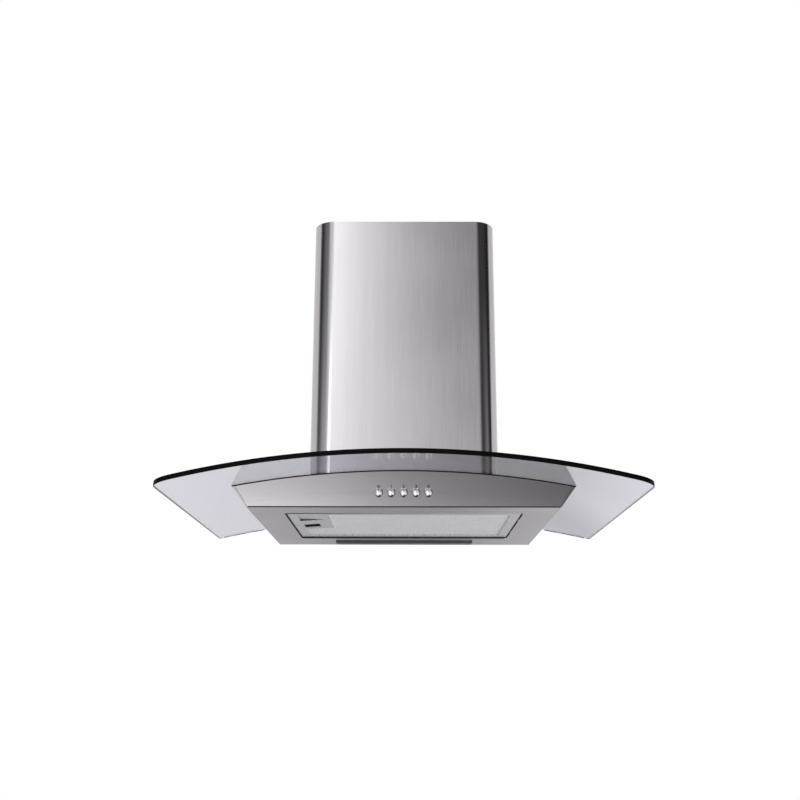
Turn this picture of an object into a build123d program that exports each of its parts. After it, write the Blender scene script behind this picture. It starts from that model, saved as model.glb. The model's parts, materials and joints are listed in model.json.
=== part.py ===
from build123d import *
import os
from math import asin, cos, radians, sin, tan

# Wall-mounted chimney range hood with an arched glass canopy, 60 cm wide.
# Millimetres. X points right, Y points into the wall, whose face is y = 0, and Z points up.
# Heights are measured from the underside of the glass at its crown. save() lowers every
# piece by HOOK_HEIGHT, so the origin of the finished part is the middle of the wall holes.

os.makedirs("parts", exist_ok=True)

# Driving dimensions of the whole hood
WIDTH = 600.0
DEPTH = 500.0
HOOK_HEIGHT = 110.0
CHIMNEY_TOP = 405.0

# Glass canopy
GLASS_THICK = 6.0
ARCH_RISE = 33.6
FRONT_BOW = 20.0
GLASS_FRONT_RADIUS = 25.0
GLASS_REAR_RADIUS = 6.0
NOTCH_HALF = 124.0
NOTCH_DEPTH = 246.0
NOTCH_RADIUS = 12.0
GASKET = 1.5
GASKET_WIDTH = 9.0

# Flared body under the glass
BASE_Z = -42.5
BASE_HALF = 201.5
BASE_FRONT = 370.0
LEAN = 35.5
BLOCK_TOP = 5.0
SHEET = 1.0
REAR_SHEET = 1.2
PANEL_FOOT_HALF = 200.1
PANEL_HEAD_HALF = 214.2
PANEL_HEAD_Z = -18.0
LIP_GAP = 0.5
PANEL_FLANGE = 8.0
REAR_FLANGE_X = 186.0
BASE_FLANGE_X = 188.0
BASE_FLANGE_FRONT = 350.0
SEAM = 1.6
FRONT_RETURN = 11.0
RIM_HEIGHT = 9.0

# Push-buttons on the control panel, and the switch behind it
BUTTON_NAMES = ["button_light", "button_speed_1", "button_speed_2", "button_speed_3", "button_off"]
BUTTON_PITCH = 15.8
BUTTON_Z = -25.5
BUTTON_RADIUS = 4.8
BUTTON_SKIRT = 4.0
BUTTON_DOME = 4.3
BUTTON_TRAVEL = 3.0
BUTTON_GAP = 0.4
STEM_RADIUS = 2.5
STEM_GAP = 0.1
STEM_END = 17.0
SWITCH_FRONT = 10.2
SWITCH_BACK = 22.2
SWITCH_HALF = 44.0
SWITCH_HALF_HEIGHT = 7.5
SWITCH_SCREW_X = 40.0
BRIDGE_HALF = 56.0
BRIDGE_FOOT = 6.0
TERMINAL_PIN = 4.0

# Grease filter
OPENING_HALF = 158.5
OPENING_FRONT = 318.5
OPENING_REAR = 81.5
FILTER_GAP = 1.5
FILTER_RECESS = 1.0
FILTER_THICK = 8.5
FILTER_BORDER_X = 13.0
FILTER_BORDER_Y = 17.0
FILTER_CORNER = 4.0
MESH_RECESS = 2.0
MESH_SHEET = 0.6
MESH_LAP = 3.5
MESH_BORDER = 2.0
MESH_COLUMNS = 24
MESH_ROWS = 11
DIAMOND_FILL = 0.42
CORE_LAYERS = 3
CORE_SHEET = 0.5
CORE_PITCH = 1.5
HINGE_TAB_YS = [-255.0, -145.0]
HINGE_TAB_HALF = 10.0
HINGE_TAB_REACH = 4.5

# Latch of the grease filter
LATCH_Y = -200.0
LATCH_Z = -38.5
LATCH_THICK = 2.0
LATCH_REACH = 4.5
TONGUE_HALF = 6.0
PLATE_END = -103.0
PLATE_STEP = -250.0
PLATE_REAR = -168.0
PLATE_DROP = 2.2
RAMP_END = -110.0
WINDOW_LEFT = -142.0
WINDOW_RIGHT = -120.0
WINDOW_REACH = 15.0
PAD_LEFT = -147.4
PAD_RIGHT = -117.0
PAD_HALF = 18.0
GRIP_HALF = 12.0
RIB_HALF = 10.0
RIB_COUNT = 4
RIB_PITCH = 2.6

# Lamp
LAMP_HALF = 108.0
LAMP_FRONT = 42.0
LAMP_REAR = 18.0
LAMP_DROP = 2.5
LAMP_HEIGHT = 20.0
LAMP_CHIPS = 12
CHIP_PITCH = 16.0

# Motor box, its wall plate and the glass clamps
BOX_HALF = 112.0
BOX_FRONT = 235.0
BOX_FOOT = -10.0
BOX_TOP = 203.8
BACK_FOOT = 10.3
BOX_FLANGE = 11.0
BOX_SCREW_YS = [-200.0, -40.0]
WALL_HOLE_X = 90.0
WALL_HOLE_Z = 70.0
WALL_HOLE_RADIUS = 3.25
SPLICE_X = 64.0
SPLICE_LOW = -14.0
SPLICE_HIGH = 24.0
CLAMP_X = 118.0
CLAMP_YS = [-190.0, -50.0]
CLAMP_FLANGE_Z = 7.2
CLAMP_REACH = 129.3
LID_SEAM = 0.4
PAD_LENGTH = 40.0
REAR_SCREW_X = 193.0
REAR_SCREW_Z = -30.0

# Blower: a double-inlet wheel whose shaft runs front to back
SHAFT_X = -32.0
SHAFT_Z = 92.0
BLOWER_Y = -122.0
WHEEL_RADIUS = 65.0
BLADE_DEPTH = 12.0
BLADE_TURN = 1.0
BLADE_SWEEP = 9.0
WHEEL_HALF = 42.0
WHEEL_RING = 2.0
BLADE_COUNT = 32
HUB_RADIUS = 12.0
HUB_LENGTH = 24.0
SHAFT_RADIUS = 4.0
SHAFT_FRONT = 31.0
SHAFT_REAR_GAP = 6.0
RUNNING_FIT = 0.05
SCROLL_START = 71.0
SCROLL_STEP = 5.0
SCROLL_HALF = 46.0
SCROLL_WALL = 2.0
TONGUE_ANGLE = 115.0
MOUTH_LEFT = -20.0
SCROLL_EAR = 7.0
EAR_REACH = 6.0
EAR_RISE = 60.0
INLET_RADIUS = 51.0
INLET_LIP = 3.0
MOTOR_RADIUS = 40.0
MOTOR_FRONT = -118.0
MOTOR_REAR = -62.0
MOTOR_BOSS = 10.0
GROMMET = 3.2
SPIDER_SHEET = 1.6
SPIDER_ANGLES = [90, 210, 330]

# Electrical pieces
CAPACITOR = (94.0, -120.0, 30.0)
CAPACITOR_RADIUS = 15.0
CAPACITOR_LENGTH = 62.0
TERMINAL_BOX = (72.0, -200.0, 120.0)
TERMINAL_BOX_END = (111.0, -150.0, 182.0)
TERMINAL_WALL = 2.0
GLAND_X = 90.0
GLAND_Y = -19.0
GLAND_RADIUS = 8.0
GLAND_BORE = 4.0
GLAND_HEX = 11.0
GLAND_HEX_HEIGHT = 5.0

# Duct outlet
COLLAR_Z = 205.0
COLLAR_RADIUS = 75.0
COLLAR_WALL = 2.5
COLLAR_TOP = 262.0
COLLAR_FLANGE = 2.0
COLLAR_FLANGE_HALF = 88.0
COLLAR_SCREW_X = 66.0
COLLAR_SCREW_Y = 50.0
LEDGE_Z = 214.0
LEDGE = 3.0
PIN_Z = 220.9
PIN_RADIUS = 1.5
FLAP_RADIUS = 71.6
FLAP_SHEET = 1.2
FLAP_OFFSET = 3.4
FLAP_GAP = 0.4
KNUCKLE_RADIUS = 3.0
KNUCKLE_LENGTH = 20.0
FRONT_KNUCKLES = [-60.0, 40.0]
REAR_KNUCKLES = [-35.0, 15.0]

# Chimney covers and their fixings
CHIMNEY_HALF = 134.0
CHIMNEY_FRONT = 262.0
CHIMNEY_RADIUS = 30.0
CHIMNEY_SHEET = 0.8
CHIMNEY_GAP = 0.8
CHIMNEY_HEM = 12.0
UPPER_FOOT = 60.0
BRACKET_Z = 382.0
BRACKET_HEIGHT = 20.0
BRACKET_SHEET = 1.2
BRACKET_HALF = 85.0
BRACKET_STEP = 8.0
BRACKET_EAR = 36.0
BRACKET_EAR_Y = -24.0
BRACKET_HOLE_X = 60.0
BRACKET_HOLE_RADIUS = 2.75
FLUSH_SCREW_RADIUS = 2.0
CLIP_Y = -135.0
CLIP_Z = 33.0
CLIP_HALF = 15.0

# Pan-head screws: shank radius, head radius and head height
BACK_SCREW = (1.7, 3.4, 1.6)
BACK_SCREW_LENGTH = 2.1
SWITCH_SCREW = (1.5, 3.0, 1.6)
LID_SCREW = (1.8, 3.4, 1.8)
LID_SCREW_LENGTH = 8.0
CLAMP_SCREW = (2.0, 4.2, 2.6)
SCROLL_SCREW = (1.6, 3.2, 1.6)
MOTOR_SCREW = (1.8, 3.6, 1.8)
CHIMNEY_SCREW = (1.8, 3.6, 1.6)
SCREW_GAP = 0.1

# Values worked out from the driving dimensions
HALF = WIDTH / 2
SIDE_LENGTH = DEPTH - FRONT_BOW
ARCH_RADIUS = (HALF**2 + ARCH_RISE**2) / (2 * ARCH_RISE)
SLOPE = tan(radians(LEAN))
LEAN_COS = cos(radians(LEAN))
LEAN_SIN = sin(radians(LEAN))
DIAGONAL = sin(radians(45))
PANEL_SPREAD = (PANEL_HEAD_HALF - PANEL_FOOT_HALF) / (PANEL_HEAD_Z - BASE_Z)
PLATE_TOP = BASE_Z + SHEET
FILTER_HALF = OPENING_HALF - FILTER_GAP
FILTER_FRONT = -OPENING_FRONT + FILTER_GAP
FILTER_REAR = -OPENING_REAR - FILTER_GAP
FILTER_Z = BASE_Z + FILTER_RECESS
FILTER_TOP = FILTER_Z + FILTER_THICK
MESH_Z = FILTER_Z + MESH_RECESS
WINDOW_HALF = FILTER_HALF - FILTER_BORDER_X
WINDOW_FRONT = FILTER_FRONT + FILTER_BORDER_Y
WINDOW_REAR = FILTER_REAR - FILTER_BORDER_Y
PLATE_START = -WINDOW_HALF + 0.2
PLATE_FRONT = WINDOW_FRONT + 0.2
LATCH_TOP = LATCH_Z + LATCH_THICK
BOX_LID_TOP = BOX_TOP + REAR_SHEET
SCROLL_OUTER = SCROLL_HALF + SCROLL_WALL
SPIDER_FACE = BLOWER_Y + SCROLL_OUTER + GROMMET

# How far a cutting block reaches past what it cuts
PAST = 20.0
FAR = 700.0


def save(name, shape):
    """Write one piece, lowered so that the wall holes' middle is the origin."""
    solids = [Pos(0, 0, -HOOK_HEIGHT) * solid for solid in shape.solids()]
    export_step(solids[0] if len(solids) == 1 else Compound(solids), f"parts/{name}.step")


def slab(x0, x1, y0, y1, z0, z1):
    """A box between two corners."""
    return Pos((x0 + x1) / 2, (y0 + y1) / 2, (z0 + z1) / 2) * Box(x1 - x0, y1 - y0, z1 - z0)


def side_slab(sign, x0, x1, y0, y1, z0, z1):
    """A box on the right for sign 1, and its mirror image on the left for sign -1."""
    low, high = sorted((sign * x0, sign * x1))
    return slab(low, high, y0, y1, z0, z1)


def rod(radius, start, axis, length):
    """A round bar from start along axis."""
    bar = Cylinder(radius, length, align=(Align.CENTER, Align.CENTER, Align.MIN))
    return Plane(origin=start, z_dir=axis).location * bar


def tube(inner, outer, start, axis, length):
    """A round tube from start along axis."""
    return rod(outer, start, axis, length) - rod(inner, start, axis, length)


def prism(outline, along):
    """A straight solid over a closed flat outline of points."""
    return Solid.extrude(Face(Wire.make_polygon(outline)), Vector(along))


def group(pieces):
    """Separate solids kept together in one node."""
    return Compound([solid for piece in pieces for solid in piece.solids()])


def mirrored(piece):
    """The same piece on the other side of the middle plane."""
    return mirror(piece, about=Plane.YZ)


def below(height):
    """Everything under a height."""
    return slab(-FAR, FAR, -FAR, FAR, -FAR, height)


def under_arch(drop):
    """Everything below the glass underside, lowered by drop."""
    return rod(ARCH_RADIUS - drop, (0, -FAR, -ARCH_RADIUS), (0, 1, 0), 2 * FAR)


def front_y(z, inset=0.0):
    """Where the leaning front face lies at height z."""
    return -(BASE_FRONT + (z - BASE_Z) * SLOPE - inset / LEAN_COS)


def side_x(z, inset=0.0):
    """Half the width of the flared body at height z."""
    return BASE_HALF + (z - BASE_Z) * SLOPE - inset / LEAN_COS


def body_block(side_inset, front_inset, rear_inset=0.0, base_inset=0.0):
    """The body's flared block, with each face moved in by its inset."""
    low, high = BASE_Z + base_inset, BLOCK_TOP
    low_x, high_x = side_x(low, side_inset), side_x(high, side_inset)
    low_y, high_y = front_y(low, front_inset), front_y(high, front_inset)
    rear = -rear_inset
    from_front = [(-low_x, 0, low), (low_x, 0, low), (high_x, 0, high), (-high_x, 0, high)]
    from_side = [(-FAR, low_y, low), (-FAR, rear, low), (-FAR, rear, high), (-FAR, high_y, high)]
    return prism(from_front, (0, -FAR, 0)) & prism(from_side, (2 * FAR, 0, 0))


def panel_plane(x, z):
    """A plane on the control panel's outer face at x and height z, whose normal points outward."""
    return Plane(origin=(x, front_y(z), z), x_dir=(1, 0, 0), z_dir=(0, -LEAN_COS, -LEAN_SIN)).location


def screw(start, axis, size, length):
    """A pan-head screw: start is under the head, and axis is the way the shank points."""
    shank, head_radius, head_height = size
    back = tuple(-a for a in axis)
    return rod(head_radius, start, back, head_height) + rod(shank, start, axis, length)


# Glass canopy and its seal

def glass_canopy():
    """Arched sheet with a bowed front edge and a notch for the chimney."""
    plan = make_face([
        Line((-HALF, 0), (HALF, 0)),
        Line((HALF, 0), (HALF, -SIDE_LENGTH)),
        ThreePointArc((HALF, -SIDE_LENGTH), (0, -DEPTH), (-HALF, -SIDE_LENGTH)),
        Line((-HALF, -SIDE_LENGTH), (-HALF, 0)),
    ])
    plan = fillet(plan.vertices().group_by(Axis.Y)[0], GLASS_FRONT_RADIUS)
    plan = fillet(plan.vertices().group_by(Axis.Y)[-1], GLASS_REAR_RADIUS)
    notch = Pos(0, -NOTCH_DEPTH / 2) * Rectangle(2 * NOTCH_HALF, NOTCH_DEPTH)
    notch = fillet(notch.vertices().group_by(Axis.Y)[0], NOTCH_RADIUS)
    column = Pos(0, 0, -2 * ARCH_RISE) * extrude(plan - notch, 3 * ARCH_RISE)
    return (column & under_arch(-GLASS_THICK)) - under_arch(0)


def glass_gasket():
    """Seal that follows the body's top edge, open at the chimney."""
    strip = body_block(0, 0) - body_block(GASKET_WIDTH, GASKET_WIDTH, GASKET_WIDTH)
    strip = (strip & under_arch(0)) - under_arch(GASKET)
    return strip - slab(-NOTCH_HALF, NOTCH_HALF, -NOTCH_DEPTH, 1, -FAR, FAR)


# Body shell

def front_sheet(side_inset):
    """The leaning front face as a sheet."""
    return body_block(side_inset, 0) - body_block(side_inset - PAST, SHEET, -1, -1)


def between_panel_ends(gap=0.0):
    """A long block with the control panel's outline seen from the front, wider by gap at each end."""
    foot, top = PANEL_FOOT_HALF + gap, PANEL_FOOT_HALF + PANEL_SPREAD * (BLOCK_TOP - BASE_Z) + gap
    return prism([(-foot, 0, BASE_Z), (foot, 0, BASE_Z), (top, 0, BLOCK_TOP), (-top, 0, BLOCK_TOP)], (0, -FAR, 0))


def front_panel():
    """Control panel: a leaning sheet with a flange behind each end, and the button holes."""
    sheet = front_sheet(-PAST) & between_panel_ends()
    start, end = 4.0, 60.0
    slant = PANEL_SPREAD * LEAN_COS
    start_x, end_x = PANEL_FOOT_HALF + start * slant, PANEL_FOOT_HALF + end * slant
    outline = [(start_x - SHEET, start, 0), (start_x, start, 0), (end_x, end, 0), (end_x - SHEET, end, 0)]
    flange = panel_plane(0, BASE_Z) * prism(outline, (0, 0, -PANEL_FLANGE))
    flange = flange & under_arch(GASKET + SHEET + 0.2)
    panel = (sheet & under_arch(GASKET)) + flange + mirrored(flange)
    for x in button_xs():
        panel = panel - panel_plane(x, BUTTON_Z) * Cylinder(BUTTON_RADIUS + BUTTON_GAP, 4 * SHEET)
    return panel


def side_panel():
    """Right side of the body, with a lip in front and flanges towards the rear panel and the underside."""
    sheet = body_block(0, 0, REAR_SHEET) - body_block(SHEET, -PAST, -1, -1)
    sheet = sheet + (front_sheet(0) - between_panel_ends(LIP_GAP))
    sheet = sheet & slab(BASE_HALF / 2, FAR, -FAR, 1, -FAR, FAR)
    rear_y = -REAR_SHEET
    rear_flange = slab(REAR_FLANGE_X, FAR, rear_y - SHEET, rear_y, PLATE_TOP, 0)
    base_flange = slab(BASE_FLANGE_X, FAR, -BASE_FLANGE_FRONT, rear_y, PLATE_TOP, PLATE_TOP + SHEET)
    flanges = (rear_flange + base_flange) & body_block(0, 0) & under_arch(GASKET + SHEET + 0.1)
    panel = (sheet & under_arch(GASKET)) + flanges
    return panel - rod(BACK_SCREW[0] + SCREW_GAP, (REAR_SCREW_X, -6, REAR_SCREW_Z), (0, 1, 0), 8)


def rear_panel():
    """Rear of the body, with a neck that meets the motor box's wall plate."""
    neck_top = BACK_FOOT - 0.3
    plate = body_block(0, 0) & slab(-FAR, FAR, -REAR_SHEET, 0, -FAR, FAR)
    plate = plate & (under_arch(GASKET) + slab(-BOX_HALF, BOX_HALF, -2, 0, -20, neck_top))
    plate = plate + slab(-BOX_HALF, BOX_HALF, -REAR_SHEET, 0, -5, neck_top)
    for sign in (-1, 1):
        plate = plate - rod(BACK_SCREW[0] + SCREW_GAP, (sign * REAR_SCREW_X, -3, REAR_SCREW_Z), (0, 1, 0), 4)
        plate = plate - rod(BACK_SCREW[0] + SCREW_GAP, (sign * SPLICE_X, -3, SPLICE_LOW), (0, 1, 0), 4)
    return plate


def back_screws():
    """Short screws at the back: two through the side flanges and four through the splice plate."""
    flange_y, splice_y = -REAR_SHEET - SHEET, -2 * REAR_SHEET
    starts = [(sign * REAR_SCREW_X, flange_y, REAR_SCREW_Z) for sign in (-1, 1)]
    starts += [(x, splice_y, z) for x, z in splice_places()]
    return group([screw(start, (0, 1, 0), BACK_SCREW, BACK_SCREW_LENGTH) for start in starts])


def top_plate():
    """Arched plate under the glass, open where the motor box comes through."""
    gap = 0.6
    inset = SHEET + 0.1
    plate = body_block(inset, inset, REAR_SHEET + 0.1) & under_arch(GASKET)
    plate = plate - under_arch(GASKET + SHEET)
    plate = plate - slab(-BOX_HALF - gap, BOX_HALF + gap, -BOX_FRONT - gap, 1, -FAR, FAR)
    for x, y in clamp_places():
        plate = plate - rod(CLAMP_SCREW[0] + 2 * SCREW_GAP, (x, y, -40), (0, 0, 1), 60)
    return plate


def underside_plate():
    """Flat underside: front return, rim round the filter opening, and the lamp window."""
    front = front_y(BASE_Z, SHEET) + SEAM
    half = side_x(BASE_Z, SHEET) - 0.1
    return_half = half - 6
    plate = slab(-half, half, front, -REAR_SHEET, BASE_Z, PLATE_TOP)
    plate = plate + slab(-return_half, return_half, front, front + SHEET, PLATE_TOP, PLATE_TOP + FRONT_RETURN)
    edge, rim_front, rim_rear = OPENING_HALF + SHEET, -OPENING_FRONT - SHEET, -OPENING_REAR + SHEET
    plate = plate + slab(-edge, edge, rim_front, rim_rear, PLATE_TOP, PLATE_TOP + RIM_HEIGHT)
    plate = plate - slab(-OPENING_HALF, OPENING_HALF, -OPENING_FRONT, -OPENING_REAR, -FAR, FAR)
    tab_room = HINGE_TAB_HALF + 1
    for y in HINGE_TAB_YS:
        plate = plate - slab(OPENING_HALF - 1, edge + 1, y - tab_room, y + tab_room, PLATE_TOP, PLATE_TOP + 6)
    low, high = LATCH_Z - 0.5, LATCH_TOP + 0.5
    slot_front, slot_rear = LATCH_Y - TONGUE_HALF - 1, LATCH_Y + TONGUE_HALF + 1
    plate = plate - slab(-edge - 1, -OPENING_HALF + 1, slot_front, slot_rear, low, high)
    return plate - slab(-LAMP_HALF + 4, LAMP_HALF - 4, -LAMP_FRONT + 3, -LAMP_REAR - 3, -FAR, FAR)


# Push-buttons and their switch

def button_xs():
    middle = (len(BUTTON_NAMES) - 1) / 2
    return [(number - middle) * BUTTON_PITCH for number in range(len(BUTTON_NAMES))]


def push_button(x):
    """A domed button: skirt through the panel, and a stem into the switch."""
    skirt_back = -(SHEET + BUTTON_TRAVEL + 1)
    top = BUTTON_SKIRT + BUTTON_DOME
    ball = (BUTTON_RADIUS**2 + BUTTON_DOME**2) / (2 * BUTTON_DOME)
    half_angle = asin(BUTTON_RADIUS / ball) / 2
    dome_mid = (ball * sin(half_angle), top - ball + ball * cos(half_angle))
    profile = make_face([
        Line((0, -STEM_END), (STEM_RADIUS, -STEM_END)),
        Line((STEM_RADIUS, -STEM_END), (STEM_RADIUS, skirt_back)),
        Line((STEM_RADIUS, skirt_back), (BUTTON_RADIUS, skirt_back)),
        Line((BUTTON_RADIUS, skirt_back), (BUTTON_RADIUS, BUTTON_SKIRT)),
        ThreePointArc((BUTTON_RADIUS, BUTTON_SKIRT), dome_mid, (0, top)),
        Line((0, top), (0, -STEM_END)),
    ])
    return panel_plane(x, BUTTON_Z) * revolve(Plane.XZ * profile, Axis.Z)


def switch_block():
    """Five-way switch with a bore for each stem and two terminal pins behind it."""
    half, height = SWITCH_HALF, SWITCH_HALF_HEIGHT
    block = slab(-half, half, -height, height, -SWITCH_BACK, -SWITCH_FRONT)
    pin_back = -SWITCH_BACK - TERMINAL_PIN
    for x in button_xs():
        block = block - rod(STEM_RADIUS + STEM_GAP, (x, 0, -SWITCH_BACK + 1), (0, 0, 1), PAST)
        for y in (-height + 2, height - 4):
            block = block + slab(x - 2, x + 2, y, y + 2, pin_back, -SWITCH_BACK)
    for sign in (-1, 1):
        block = block - rod(SWITCH_SCREW[0] + SCREW_GAP, (sign * SWITCH_SCREW_X, 0, -30), (0, 0, 1), 30)
    return panel_plane(0, BUTTON_Z) * block


def switch_bracket():
    """Bridge behind the control panel that carries the switch."""
    height = SWITCH_HALF_HEIGHT
    plate_front = -SWITCH_FRONT + SHEET
    bracket = slab(-BRIDGE_HALF, BRIDGE_HALF, -height, height, -SWITCH_FRONT, plate_front)
    for sign in (-1, 1):
        leg = side_slab(sign, BRIDGE_HALF - SHEET, BRIDGE_HALF, -height, height, plate_front, -SHEET)
        foot = side_slab(sign, BRIDGE_HALF - BRIDGE_FOOT, BRIDGE_HALF, -height, height, -2 * SHEET, -SHEET)
        bracket = bracket + leg + foot
        bracket = bracket - rod(SWITCH_SCREW[0], (sign * SWITCH_SCREW_X, 0, -30), (0, 0, 1), 29)
    for x in button_xs():
        bracket = bracket - rod(STEM_RADIUS + 6 * STEM_GAP, (x, 0, -30), (0, 0, 1), 29)
    return panel_plane(0, BUTTON_Z) * bracket


def switch_screws():
    length = SWITCH_BACK - SWITCH_FRONT + SHEET
    starts = [(sign * SWITCH_SCREW_X, 0, -SWITCH_BACK) for sign in (-1, 1)]
    pair = group([screw(start, (0, 0, 1), SWITCH_SCREW, length) for start in starts])
    return panel_plane(0, BUTTON_Z) * pair


# Grease filter

def grease_filter_frame():
    """Channel-shaped frame that holds the mesh pack, with two hinge tabs at the right."""
    frame = slab(-FILTER_HALF, FILTER_HALF, FILTER_FRONT, FILTER_REAR, FILTER_Z, FILTER_TOP)
    frame = fillet(frame.edges().filter_by(Axis.Z), FILTER_CORNER)
    frame = frame - slab(-WINDOW_HALF, WINDOW_HALF, WINDOW_FRONT, WINDOW_REAR, -FAR, FAR)
    lap = MESH_LAP + 0.5
    groove_x, groove_front, groove_rear = WINDOW_HALF + lap, WINDOW_FRONT - lap, WINDOW_REAR + lap
    frame = frame - slab(-groove_x, groove_x, groove_front, groove_rear, MESH_Z - 0.1, FILTER_TOP - SHEET)
    tab_low, tab_top = FILTER_Z + 0.2, FILTER_Z + 1.4
    for y in HINGE_TAB_YS:
        start, end = FILTER_HALF - 3, FILTER_HALF + HINGE_TAB_REACH
        frame = frame + slab(start, end, y - HINGE_TAB_HALF, y + HINGE_TAB_HALF, tab_low, tab_top)
    room = TONGUE_HALF + 0.4
    low, high = LATCH_Z - 0.3, LATCH_TOP + 0.3
    return frame - slab(-FILTER_HALF - 1, -WINDOW_HALF, LATCH_Y - room, LATCH_Y + room, low, high)


def mesh_outline(z):
    """The mesh sheet's corners at height z."""
    x, front, rear = WINDOW_HALF + MESH_LAP, WINDOW_FRONT - MESH_LAP, WINDOW_REAR + MESH_LAP
    return [(-x, front, z), (x, front, z), (x, rear, z), (-x, rear, z)]


def latch_room(gap):
    """The space round the latch plate that the mesh layers leave free."""
    left, front = PLATE_START - gap - 2 * MESH_LAP, PLATE_FRONT - gap - 2 * MESH_LAP
    return slab(left, PLATE_END + gap, front, PLATE_REAR + gap, -FAR, FAR)


def grease_filter_mesh():
    """Expanded-metal face of the filter: a sheet with diamond openings, clear of the latch plate."""
    step_x = 2 * (WINDOW_HALF - MESH_BORDER) / MESH_COLUMNS
    step_y = (WINDOW_REAR - WINDOW_FRONT - 2 * MESH_BORDER) / MESH_ROWS
    wide, deep = DIAMOND_FILL * step_x, DIAMOND_FILL * step_y
    holes = []
    for column in range(MESH_COLUMNS):
        for row in range(MESH_ROWS):
            x = -WINDOW_HALF + MESH_BORDER + (column + 0.5) * step_x
            y = WINDOW_FRONT + MESH_BORDER + (row + 0.5) * step_y
            if x < PLATE_END + step_x and PLATE_FRONT - step_y < y < PLATE_REAR + step_y:
                continue
            corners = [(x - wide, y), (x, y - deep), (x + wide, y), (x, y + deep)]
            holes.append(Wire.make_polygon([(*corner, MESH_Z) for corner in corners]))
    sheet = Face(Wire.make_polygon(mesh_outline(MESH_Z)), holes)
    return Solid.extrude(sheet, Vector(0, 0, MESH_SHEET)) - latch_room(0.1)


def grease_filter_core():
    """Inner layers of the mesh pack, cut clear of the latch."""
    layers = []
    for number in range(CORE_LAYERS):
        low = MESH_Z + 2 * MESH_SHEET + number * CORE_PITCH
        layers.append(prism(mesh_outline(low), (0, 0, CORE_SHEET)) - latch_room(1))
    return group(layers)


def latch_ramp(y, depth, low, left_top):
    """A slice of the plate's ramp, which drops to the left: depth along Y, from the ramp up to left_top."""
    high = low + SHEET
    outline = [(PLATE_START, y, low - PLATE_DROP), (RAMP_END, y, low), (PLATE_END, y, low), (PLATE_END, y, high),
               (RAMP_END, y, high), (PLATE_START, y, left_top)]
    return prism(outline, (0, depth, 0))


def filter_latch_plate():
    """Pressed plate with a flat front and a ramp behind a step, the finger window, and lips up to the frame."""
    low, lip_top = MESH_Z - 0.4, FILTER_TOP - SHEET - 0.4
    rear_wall = PLATE_REAR - SHEET
    plate = slab(PLATE_START, PLATE_END, PLATE_FRONT, PLATE_STEP, low, low + SHEET)
    plate = plate + latch_ramp(PLATE_STEP, PLATE_REAR - PLATE_STEP, low, low - PLATE_DROP + SHEET)
    plate = plate + latch_ramp(PLATE_STEP, SHEET, low, low + SHEET)
    plate = plate + latch_ramp(rear_wall, SHEET, low, low + SHEET)
    plate = plate + slab(PLATE_START, PLATE_END, PLATE_FRONT, PLATE_FRONT + SHEET, low, lip_top)
    plate = plate + slab(PLATE_START, PLATE_END, rear_wall, PLATE_REAR, low, lip_top)
    plate = plate + slab(PLATE_END - SHEET, PLATE_END, PLATE_FRONT, PLATE_REAR, low, lip_top)
    return plate - slab(WINDOW_LEFT, WINDOW_RIGHT, LATCH_Y - WINDOW_REACH, LATCH_Y + WINDOW_REACH, -FAR, FAR)


def filter_latch():
    """Sliding bolt of the filter: tongue at the left, ribbed finger pad in the window."""
    half = TONGUE_HALF
    bolt = slab(-FILTER_HALF - LATCH_REACH, -130, LATCH_Y - half, LATCH_Y + half, LATCH_Z, LATCH_TOP)
    pad = slab(PAD_LEFT, PAD_RIGHT, LATCH_Y - PAD_HALF, LATCH_Y + PAD_HALF, LATCH_Z + 0.3, LATCH_TOP)
    grip_low, grip_top = FILTER_Z + 0.4, LATCH_Z + 0.5
    grip_left = WINDOW_LEFT + 1
    grip = slab(grip_left, grip_left + 2, LATCH_Y - GRIP_HALF, LATCH_Y + GRIP_HALF, grip_low, grip_top)
    bolt = bolt + pad + grip
    first_rib, rib_width, rib_low = WINDOW_LEFT + 5.5, 1.2, LATCH_Z - 0.7
    for number in range(RIB_COUNT):
        x = first_rib + number * RIB_PITCH
        bolt = bolt + slab(x, x + rib_width, LATCH_Y - RIB_HALF, LATCH_Y + RIB_HALF, rib_low, LATCH_Z + 0.5)
    return bolt


# Lamp

def lamp_slab(inset, z0, z1):
    """A block of the lamp's plan, smaller by inset all round."""
    return slab(-LAMP_HALF + inset, LAMP_HALF - inset, -LAMP_FRONT + inset, -LAMP_REAR - inset, z0, z1)


def lamp_lens():
    """Diffuser below the underside, with a neck through the window."""
    lens = lamp_slab(0, BASE_Z - LAMP_DROP, BASE_Z)
    lens = chamfer(lens.faces().sort_by(Axis.Z)[0].edges(), 0.8)
    neck_x, neck_front, neck_rear = LAMP_HALF - 4.5, -LAMP_FRONT + 3.4, -LAMP_REAR - 3.4
    lens = lens + slab(-neck_x, neck_x, neck_front, neck_rear, BASE_Z - 1, BASE_Z + 2)
    hollow_x, hollow_front, hollow_rear = LAMP_HALF - 6, -LAMP_FRONT + 5, -LAMP_REAR - 5
    return lens - slab(-hollow_x, hollow_x, hollow_front, hollow_rear, BASE_Z - LAMP_DROP + 1.2, BASE_Z + 3)


def lamp_housing():
    """Sheet tray over the lens."""
    top = PLATE_TOP + LAMP_HEIGHT
    return lamp_slab(SHEET, PLATE_TOP, top) - lamp_slab(2 * SHEET, PLATE_TOP - 1, top - SHEET)


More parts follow.
